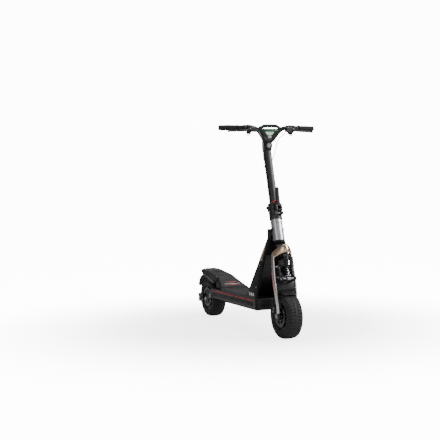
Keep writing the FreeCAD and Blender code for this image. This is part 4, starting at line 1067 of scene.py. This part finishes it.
def beam_at(z):
    """Inner and outer reach across, and front and back, of the neck beam at a height in millimetres."""
    stations = [(228, 98, 114, -398, -262), (500, 71, 85, -478, -431), (600, 42, 55, -484, -456), (640, 36, 45, -493, -470),
                (668, 32, 39.5, -506, -484)]
    for a, b in zip(stations, stations[1:]):
        if z <= b[0]:
            t = (z - a[0]) / (b[0] - a[0])
            return [p + (q - p) * t for p, q in zip(a[1:], b[1:])]
    return stations[-1][1:]


def beam_panel(side, heights, front_share, back_share, lift, thickness):
    """A thin panel laid on a beam's outer face, between two shares of its width."""
    outside = []
    inside = []
    for z in heights:
        inner, outer, front, back = beam_at(z)
        y_front, y_back = front + (back - front) * front_share(z), front + (back - front) * back_share(z)
        outside.append([(outer + lift + thickness, y_front, z), (outer + lift + thickness, y_back, z)])
        inside.append([(outer + lift, y_front, z), (outer + lift, y_back, z)])
    rings = []
    for out, into in zip(outside, inside):
        ring = [out[0], out[1], into[1], into[0]]
        rings.append([mm(side * x, y, z) for x, y, z in ring])
    return rings_to_bmesh(rings)


def neck_details():
    """Bronze neck plates, the shaped panels on the beams, and their fasteners."""
    plates = []
    for side in (1, -1):
        plates.append(beam_panel(side, [470, 485, 510, 535, 560], lambda z: 0.30 + 0.25 * (z - 470) / 90, lambda z: 0.97, -0.3, 2.2))
    piece("neck_plates", join(*plates), "bronze", "frame", bevel=0.0012)
    panels = []
    for side in (1, -1):
        panels.append(beam_panel(side, [240, 300, 360, 420, 455], lambda z: 0.10, lambda z: 0.88, -0.4, 1.8))
    piece("beam_panels", join(*panels), "case_black", "frame", bevel=0.0010)
    heads = []
    for side in (1, -1):
        for z, share in ((438, 0.5), (300, 0.12), (262, 0.85)):
            outer, front, back = beam_at(z)[1:]
            heads.append(bolt_head(mm(side * (outer + 1.2), front + (back - front) * share, z), (side, 0, 0.08), 0.0048, 0.0032))
    piece("beam_bolts", join(*heads), "bolt_steel", "frame")
    marks = []
    for side in (1, -1):
        for step, (low_share, high_share) in enumerate(((0.16, 0.30), (0.36, 0.50), (0.56, 0.70))):
            front, back = beam_at(248)[2:]
            y0, y1 = front + (back - front) * low_share, front + (back - front) * high_share
            bar = [mm(side * (beam_at(z)[1] + 1.75), y, z) for y, z in ((y0, 243), (y1, 243), (y1 + 4, 262), (y0 + 4, 262))]
            raised = [p + Vector((side * 0.0005, 0, 0)) for p in bar]
            marks.append(rings_to_bmesh([bar, raised]))
    piece("beam_stripes", join(*marks), "white_mark", "frame", smooth=False)


def knuckle_details():
    """The cast block between the wishbones: side ribs and a cover on each side."""
    ribs = []
    for side in (1, -1):
        for w in (-176, -190, -204, -236):
            ribs.append(prism(rounded_rect(24, 2.2, 2, 3), side * 25.9, side * 27.6, lambda a, b, d, w=w: steered(d, 34 + a, w + b)))
    piece("knuckle_ribs", join(*ribs), "frame_black", "steering", bevel=0.0005)
    shield = []
    for side in (1, -1):
        rings = []
        for w, v, half in ((-130, 8, 7), (-150, 7, 9), (-175, 5, 10), (-198, 4, 11), (-214, 4, 8)):
            ring = [(side * (24 + 2 * b), v + a) for a, b in ((-half, 0.2), (-half * 0.5, 1.0), (half * 0.5, 1.0), (half, 0.2), (half, -0.4), (-half, -0.4))]
            rings.append([steered(x, y, w) for x, y in ring])
        shield.append(rings_to_bmesh(rings))
    piece("knuckle_shields", join(*shield), "case_black", "steering")


def fork_brace():
    """The black cross brace between the blades, above the fender."""
    rings = []
    for x, low, high, depth in ((-59, -320, -254, 5), (-50, -322, -258, 6), (-30, -323, -261, 7), (0, -324, -262, 7.5),
                                (30, -323, -261, 7), (50, -322, -258, 6), (59, -320, -254, 5)):
        mid, half = (low + high) / 2, (high - low) / 2
        rings.append([steered(x, -16 + a, mid + b) for a, b in oval(depth, half, 3.4, 24)])
    piece("fork_cross_brace", rings_to_bmesh(rings), "frame_black", "fork")


def blade_trims():
    """The thin red trims down the rear edges of the fork's blades."""
    parts = []
    for side in (1, -1):
        path = smooth_path([steered(side * 61, 13, -140), steered(side * 65, 15, -200), steered(side * 67, 16, -250),
                            steered(side * 67, 17, -300), steered(side * 65, 19, -345)], 6)
        count = len(path) - 1
        parts.append(sweep(path, [0.0044 * math.sin(math.pi * (0.10 + 0.80 * k / count)) for k in range(count + 1)], 10))
    # The red lamp finish makes these trims glow faintly: a painted glow over their red colour, as they are no lamp.
    piece("blade_red_trims", join(*parts), "red_light", "fork")


def head_tube_details():
    parts = []
    for w in (-7.5, 121.5):
        profile = [(0.0362, -0.0015), (0.0378, -0.0008), (0.0378, 0.0008), (0.0362, 0.0015)]
        parts.append(lathe(profile, steered(0, 0, w), UP_AXIS, 72))
    piece("head_tube_lips", join(*parts), "silver", "frame")
    heads = [bolt_head(steered(0, -36.4, w), (0, -0.966, 0.259), 0.0042, 0.0024) for w in (22, 98)]
    piece("head_tube_bolts", join(*heads), "bolt_steel", "frame")
    ring = [(0.0302, -0.0115), (0.0368, -0.0115), (0.0384, -0.0095), (0.0384, -0.0050), (0.0372, -0.0035), (0.0302, -0.0035)]
    piece("headset_ring", lathe(ring, steered(0, 0, -10.5), UP_AXIS, 72), "motor_black", "steering")


def deck_details():
    """Edge trims, side channel lines, the lit strips, the charge port, and the case's ribs and screws."""
    trims = []
    for side in (1, -1):
        path = [mm(side * 113.2, y, 230.6) for y in (-259, -120, 20, 146)]
        trims.append(sweep(path, 0.0015, 8))
    piece("deck_edge_trims", join(*trims), "deck_black", "frame")
    lips = []
    for side in (1, -1):
        for z in (209.5, 219.2):
            path = [mm(side * 114.0, y, z) for y in (-368, -100, 100, 298)]
            lips.append(sweep(path, 0.0012, 8))
        lips.append(prism(rounded_rect(330, 12, 5, 4), side * 113.8, side * 115.4, lambda a, b, d: mm(d, -38 + a, 190 + b)))
    piece("rail_channels", join(*lips), "case_black", "frame", bevel=0.0006)
    glow_parts = []
    for side in (1, -1):
        path = [mm(side * 114.9, y, 214.4) for y in range(-364, 295, 24)]
        glow_parts.append(sweep(path, 0.0022, 10))
    piece("light_strips", join(*glow_parts), "red_light", "frame", replaces=["side_lights"])
    ribs = []
    for y in range(-370, 120, 28):
        ribs.append(prism(rounded_rect(88, 3.5, 2, 3), -0.0, -1.6, lambda a, b, d, y=y: mm(a, y + b, 152 + d)))
    for side in (1, -1):
        for y in (-372, -250, -120, 10, 104):
            ribs.append(bolt_head(mm(side * 90, y, 152), (0, 0, -1), 0.0042, 0.0022))
    piece("case_ribs", join(*ribs), "case_black", "frame")
    vents = []
    for step in range(8):
        z = 166 + 7.2 * step
        vents.append(sweep([mm(-74 + 1.5 * step, -398.4, z), mm(0, -399.6, z), mm(74 - 1.5 * step, -398.4, z)], 0.0018, 8))
    piece("nose_grille", join(*vents), "motor_black", "frame")
    port = lathe([(0.001, 0), (0.0125, 0), (0.0135, 0.001), (0.0135, 0.003), (0.0120, 0.004), (0.001, 0.004)],
                 mm(114.2, -352, 192), (1, 0, 0), 40)
    tab = prism(rounded_rect(9, 3.4, 3, 4), 114.6, 117.2, lambda a, b, d: mm(d, -352 + a * 0.7, 180 + b))
    piece("charge_cap", join(port, tab), "mat_rubber", "frame", bevel=0.0006)


def footrest_shell():
    """The inclined footrest, with rounded flanks that fall to the rails."""
    rows = []
    steps = 20
    for step in range(steps + 1):
        t = step / steps
        y = 150 + (345 - 150) * t
        half = 110 + (62 - 110) * t ** 1.15
        top = 236.5 + (312 - 236.5) * t
        ring = []
        for k in range(25):
            u = -1 + 2 * k / 24
            x = half * math.sin(u * math.pi / 2)
            fall = (top - 229) * (1 - (1 - abs(u) ** 5) ** 0.6) if abs(u) > 0.55 else 0
            ring.append((x + math.copysign(1.5 * t, u) * (abs(u) > 0.8), y, top - 1.5 * u * u - fall))
        floor = [(half - 1, y, 228.3), (-half + 1, y, 228.3)]
        rows.append([mm(*p) for p in ring + floor])
    piece("footrest_shell", rings_to_bmesh(rows), "case_black", "frame", replaces=["rear_footrest"])


TAIL_STATIONS = [
    # back, half width on top, top height, half width at the skirt, skirt height, crown
    (322, 66, 303, 92, 258, 2.0), (345, 64, 309, 90, 256, 2.5), (380, 60, 318, 85, 262, 3.0), (430, 56, 325, 80, 270, 3.5),
    (480, 56, 330, 76, 278, 3.5), (530, 58, 335, 74, 290, 3.0), (570, 60, 338, 74, 302, 2.5), (600, 60, 340, 72, 312, 2.0),
    (622, 56, 340, 66, 320, 1.5), (633, 44, 337, 52, 324, 1.0),
]


def tail_shell():
    """The tail: a grey shell that leaves the footrest, widens into flanks over the wheel and ends in a lip."""
    rings = []
    for back, half_top, top, half_low, low, crown in TAIL_STATIONS:
        outer = []
        for k in range(9):
            u = -1 + 2 * k / 8
            outer.append((half_top * u, top + crown * (1 - u * u)))
        flank = [(half_top + 6, top - 3.5), (half_low - 1.5, (top + low) / 2 + 3), (half_low, low)]
        right = [(-x, z) for x, z in reversed(flank)]
        inner = [(half_low - 4.5, low), (half_top + 1.5, top - 8), (half_top * 0.5, top - 6.0), (-half_top * 0.5, top - 6.0),
                 (-half_top - 1.5, top - 8), (-half_low + 4.5, low)]
        loop = right + outer + flank + inner
        rings.append([mm(x, back, z) for x, z in loop])
    piece("tail_shell", rings_to_bmesh(rings), "tail_grey", "frame", replaces=["tail_handle"], subdivide=2)
    slot = prism(rounded_rect(38, 15, 7, 6), 0, 1.4, lambda a, b, d: mm(a, 592 + b, 341.4 + 0.10 * b + d))
    piece("tail_grip_recess", slot, "motor_black", "frame", bevel=0.0006)
    ridges = []
    for number in range(3):
        y = 430 + 26 * number
        ridges.append(sweep([mm(-34, y, 328.6 + 0.12 * (y - 430)), mm(0, y - 8, 329.6 + 0.12 * (y - 430)), mm(34, y, 328.6 + 0.12 * (y - 430))], 0.0011, 8))
    piece("tail_ridges", join(*ridges), "tail_grey", "frame")
    lamp = prism(rounded_rect(29, 5.2, 4, 5), 632.5, 639.0, lambda a, b, d: mm(a, d, 329 + b))
    piece("tail_lamp", lamp, "red_light", "frame", replaces=["tail_light"], bevel=0.0012)


def rear_guard():
    """The rear mudguard: a thin arch with rolled edges, two stiffening creases and a flexible flap."""
    path = smooth_path([mm(0, 446, 287), mm(0, 490, 302), mm(0, 540, 311.5), mm(0, 590, 311), mm(0, 640, 296), mm(0, 690, 265), mm(0, 726, 227)], 8)
    rings = []
    for i, p in enumerate(path):
        ahead = path[min(i + 1, len(path) - 1)] - path[max(i - 1, 0)]
        out = Vector((0, -ahead.z, ahead.y)).normalized()
        if out.z < 0:
            out = -out
        t = i / (len(path) - 1)
        half = 0.052 - 0.006 * step_between(t, 0.82, 1.0)
        ring = []
        profile = [(-1.0, -0.0062), (-1.0, -0.0018), (-0.94, 0.0002), (-0.5, 0.0012), (-0.42, 0.0022), (-0.34, 0.0012), (0, 0.0014),
                   (0.34, 0.0012), (0.42, 0.0022), (0.5, 0.0012), (0.94, 0.0002), (1.0, -0.0018), (1.0, -0.0062)]
        for u, lift in profile:
            ring.append(p + Vector((half * u, 0, 0)) + out * lift)
        for u, lift in reversed(profile):
            ring.append(p + Vector((half * u * 0.965, 0, 0)) + out * (max(lift, -0.0058) - 0.0024))
        rings.append(ring)
    piece("rear_guard", rings_to_bmesh(rings), "case_black", "frame", replaces=["rear_mudguard"])
    flap = []
    for t in range(9):
        y, z = 722 + 14.5 * t / 8 + 1.5 * math.sin(t * 0.5), 231 - 27 * t / 8
        half = 0.046 - 0.010 * (t / 8) ** 2
        flap.append([Vector((half * u, y / 1000, z / 1000)) + Vector((0, lift, 0)) for u, lift in
                     ((-1, 0), (-0.5, 0.001), (0, 0.0014), (0.5, 0.001), (1, 0), (1, 0.0024), (0.5, 0.0034), (0, 0.0038), (-0.5, 0.0034), (-1, 0.0024))])
    piece("rear_flap", rings_to_bmesh(flap), "mat_rubber", "frame")


def front_guard():
    """The front fender: a crowned arc over the tyre with stays to the fork."""
    low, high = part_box("front_axle")
    centre = (low + high) / 2
    rings = []
    steps = 34
    for step in range(steps + 1):
        t = step / steps
        angle = math.radians(62 + 63 * t)
        out = Vector((0, -math.cos(angle), math.sin(angle)))
        half = 0.050 - 0.010 * (1 - step_between(t, 0.0, 0.14)) - 0.006 * step_between(t, 0.9, 1.0)
        ring = []
        profile = [(-1.0, 0.1445), (-1.0, 0.1488), (-0.93, 0.1512), (-0.5, 0.1530), (0, 0.1536), (0.5, 0.1530), (0.93, 0.1512),
                   (1.0, 0.1488), (1.0, 0.1445)]
        for u, r in profile:
            ring.append(centre + Vector((half * u, 0, 0)) + out * r)
        for u, r in reversed(profile):
            ring.append(centre + Vector((half * u * 0.96, 0, 0)) + out * (max(r, 0.1450) - 0.0022 * (abs(u) < 1.01) + (0.0022 if abs(u) == 1.0 and r < 0.146 else 0)))
        rings.append(ring)
    stays = []
    for side in (1, -1):
        path = smooth_path([centre + Vector((side * 0.049, 0.012, 0.147)), centre + Vector((side * 0.056, 0.018, 0.152)),
                            centre + Vector((side * 0.062, 0.023, 0.158))], 5)
        stays.append(sweep(path, 0.0045, 12, 0.6))
        stays.append(bolt_head(centre + Vector((side * 0.0595, 0.018, 0.149)), (side, 0, 0), 0.0038, 0.0022))
    piece("front_guard", join(rings_to_bmesh(rings), *stays), "case_black", "fork", replaces=["front_fender"])


def rear_details():
    """Axle nuts, the calipers' bolts, arm covers, the damper's coil and the arm's pivot heads."""
    y = middle("rear_axle").y
    nuts = []
    for side in (1, -1):
        nuts.append(hex_nut((side * 0.0998, y, 0.141), (side, 0, 0), 0.0135, 0.0085))
        for back, up in ((0.527, 0.158), (0.527, 0.124), (0.589, 0.158)):
            nuts.append(bolt_head((side * 0.0999, back, up), (side, 0, 0), 0.0052, 0.0034))
    piece("rear_axle_nuts", join(*nuts), "bolt_steel", "rear_arm")
    covers = []
    for side in (1, -1):
        outline = smooth_outline([(0.340, 0.160), (0.352, 0.196), (0.430, 0.186), (0.500, 0.170), (0.506, 0.128), (0.430, 0.140)], 4)
        covers.append(prism(outline, side * 0.0818, side * 0.0842, lambda a, b, d: (d, a, b)))
        ring = [(0.010, 0.0968), (0.0168, 0.0968), (0.0172, 0.0972), (0.0172, 0.0978), (0.010, 0.0978)]
        covers.append(lathe(ring, (0, 0.330, 0.178), (side, 0, 0), 40))
    piece("arm_covers", join(*covers), "graphite", "rear_arm", bevel=0.0006)
    coil("rear_coil", "rear_spring", "frame", mm(0, 231, 240), mm(0, 320, 240), 0.0131, 0.0021, 7)
    heads = [bolt_head(mm(side * 120, 330, 178), (side, 0, 0), 0.0125, 0.003, 0.45) for side in (1, -1)]
    piece("arm_pivot_heads", join(*heads), "bolt_steel", "frame")


def caliper_details(prefix, body, axle_y, angle, outer):
    """Bolts, the bridge bolts and fins on a caliper, turned about the axle with it."""
    turn = Matrix.Translation((0, axle_y, 0.141)) @ Matrix.Rotation(math.radians(angle), 4, "X")
    face = -(0.037 + outer)
    parts = []
    for a in (-0.012, 0.012):
        spot = turn @ Vector((face, a, 0.063))
        parts.append(bolt_head(spot, (-1, 0, 0), 0.0062, 0.0022, 0.4))
    for a in (-0.0165, 0.0165):
        spot = turn @ Vector((face + outer / 2, a, 0.0795))
        parts.append(bolt_head(spot, turn.to_3x3() @ Vector((0, 0, 1)), 0.0030, 0.0024))
    piece(prefix + "_caliper_bolts", join(*parts), "bolt_steel", body)
    fins = []
    for number in range(4):
        z = 0.052 + 0.0068 * number
        fin = sweep([turn @ Vector((face, -0.0175, z)), turn @ Vector((face - 0.0006, 0, z)), turn @ Vector((face, 0.0175, z))], 0.0011, 8)
        fins.append(fin)
    piece(prefix + "_caliper_fins", join(*fins), "graphite", body)


def stand_details():
    pivot = mm(130, -150, 151)
    axis = Vector((0.95902, -0.03720, 0.28087)).normalized()
    head = bolt_head(pivot + axis * 0.0121, axis, 0.0088, 0.0040)
    piece("stand_pivot_bolt", head, "bolt_steel", "frame")
    down = (mm(175, -130, 0) - pivot).normalized()
    path = [pivot + down * d for d in (0.020, 0.060, 0.110, 0.138)]
    spur = sweep([pivot + down * 0.085 + axis.cross(down) * 0.0075, pivot + down * 0.085 + axis.cross(down) * 0.020], [0.0042, 0.0032], 12)
    sleeve = sweep(path, [0.0092, 0.0092, 0.0088, 0.0084], 20)
    piece("stand_sleeve", join(sleeve, spur), "frame_black", "kickstand", bevel=0.0003)


# ---- build everything ----

finish_cad_nodes()
for node in SOFTENED:
    soften(frame["nodes"][node], 0.0012, 2, 40)

tyre("front_tread_tyre", "front_tyre", "front_wheel")
tyre("rear_tread_tyre", "rear_tyre", "rear_wheel")
for prefix in ("front", "rear"):
    wheel_details(prefix, prefix + "_wheel")
    brake_disc(prefix, prefix + "_wheel")
fork()
front_damper()
stem_tube()
collar()
latch()
catch()
stem_head()
display()
controls()
hoses()
grip("grip_left_ribbed", "grip_left", "stem", 1)
grip("grip_right_ribbed", "throttle_grip", "throttle", -1)
neck_details()
knuckle_details()
fork_brace()
blade_trims()
head_tube_details()
deck_mat()
footrest_mat()
deck_details()
footrest_shell()
tail_shell()
rear_guard()
front_guard()
rear_details()
caliper_details("front", "fork", -0.6015, -60, 0.023)
caliper_details("rear", "rear_arm", 0.561, 75, 0.025)
stand_details()


# ---- floor, light and camera ----

def studio_white():
    """White paper: brighter to the camera with distance from the scooter, plain diffuse for everything else."""
    material, tree, shader = node_tree("studio_white")
    link = tree.links.new
    seen = add(tree, "ShaderNodeLightPath")
    place = add(tree, "ShaderNodeTexCoord")
    away = add(tree, "ShaderNodeVectorMath", operation="LENGTH")
    link(place.outputs["Object"], away.inputs[0])
    lit = add(tree, "ShaderNodeMapRange", interpolation_type="SMOOTHSTEP")
    lit.inputs["From Min"].default_value = 0.5
    lit.inputs["From Max"].default_value = 2.2
    lit.inputs["To Min"].default_value = 3.6
    lit.inputs["To Max"].default_value = 13.0
    link(away.outputs["Value"], lit.inputs["Value"])
    glow_share = add(tree, "ShaderNodeMath", operation="MULTIPLY")
    link(seen.outputs["Is Camera Ray"], glow_share.inputs[0])
    link(lit.outputs["Result"], glow_share.inputs[1])
    link(glow_share.outputs["Value"], shader.inputs["Emission Strength"])
    shader.inputs["Emission Color"].default_value = (1, 1, 1, 1)
    fibre = add(tree, "ShaderNodeTexNoise", Scale=40.0, Detail=2.0)
    link(place.outputs["Object"], fibre.inputs["Vector"])
    tone = add(tree, "ShaderNodeMapRange")
    tone.inputs["To Min"].default_value = 0.62
    tone.inputs["To Max"].default_value = 0.66
    link(fibre.outputs["Fac"], tone.inputs["Value"])
    link(tone.outputs["Result"], shader.inputs["Base Color"])
    shader.inputs["Roughness"].default_value = 0.9
    shader.inputs["Specular IOR Level"].default_value = 0.0
    return material


def stage_floor():
    """A white sweep: a flat floor that curves up far behind the scooter."""
    profile = [(-9.0, 0.0)] + [(7.0 + 3.0 * math.sin(a), 3.0 - 3.0 * math.cos(a)) for a in [math.radians(t) for t in range(0, 91, 6)]]
    profile.append((10.0, 12.0))
    heading = Vector((0.38883, 0.92069, 0)).normalized()
    across = Vector((heading.y, -heading.x, 0))
    bm = bmesh.new()
    rows = []
    for x in (-16, -8, 0, 8, 16):
        rows.append([bm.verts.new(across * x + heading * d + Vector((0, 0, z))) for d, z in profile])
    for a, b in zip(rows, rows[1:]):
        for i in range(len(profile) - 1):
            bm.faces.new((a[i], b[i], b[i + 1], a[i + 1]))
    mesh = bpy.data.meshes.new("studio_sweep")
    bm.to_mesh(mesh)
    bm.free()
    for polygon in mesh.polygons:
        polygon.use_smooth = True
    mesh.materials.append(studio_white())
    obj = bpy.data.objects.new("studio_sweep", mesh)
    bpy.context.scene.collection.objects.link(obj)


def area_light(name, spot, target, width, height, watts):
    lamp = bpy.data.lights.new(name, "AREA")
    lamp.shape = "RECTANGLE"
    lamp.size = width
    lamp.size_y = height
    lamp.energy = watts
    obj = bpy.data.objects.new(name, lamp)
    obj.location = spot
    obj.rotation_euler = (Vector(target) - Vector(spot)).to_track_quat("-Z", "Y").to_euler()
    bpy.context.scene.collection.objects.link(obj)


stage_floor()
area_light("key_light", (3.3, -2.9, 3.0), (0, 0, 0.5), 1.8, 2.2, 330)
area_light("top_light", (0.2, 0.4, 4.6), (0, 0, 0.4), 4.0, 4.0, 190)
area_light("left_fill", (-4.5, -3.2, 2.2), (0, 0, 0.6), 2.4, 2.4, 45)
area_light("front_fill", (-1.0, -6.5, 1.9), (0, 0, 0.5), 3.0, 2.0, 45)

world = bpy.data.worlds.new("studio_air")
world.use_nodes = True
world.node_tree.nodes["Background"].inputs["Color"].default_value = (1, 1, 1, 1)
seen_directly = world.node_tree.nodes.new("ShaderNodeLightPath")
air_strength = world.node_tree.nodes.new("ShaderNodeMapRange")
air_strength.inputs["To Min"].default_value = 0.22
air_strength.inputs["To Max"].default_value = 13.0
world.node_tree.links.new(seen_directly.outputs["Is Camera Ray"], air_strength.inputs["Value"])
world.node_tree.links.new(air_strength.outputs["Result"], world.node_tree.nodes["Background"].inputs["Strength"])
bpy.context.scene.world = world

lens = bpy.data.cameras.new("photo_camera")
lens.lens = 75.8
lens.sensor_width = 36
camera = bpy.data.objects.new("photo_camera", lens)
right = Vector((0.92091, -0.38949, -0.01539))
up = Vector((0.02737, 0.02523, 0.99931))
back = Vector((-0.38883, -0.92069, 0.03389))
camera.matrix_world = Matrix.Translation((-2.5436, -5.6107, 0.9179)) @ Matrix((right, up, back)).transposed().to_4x4()
bpy.context.scene.collection.objects.link(camera)
bpy.context.scene.camera = camera
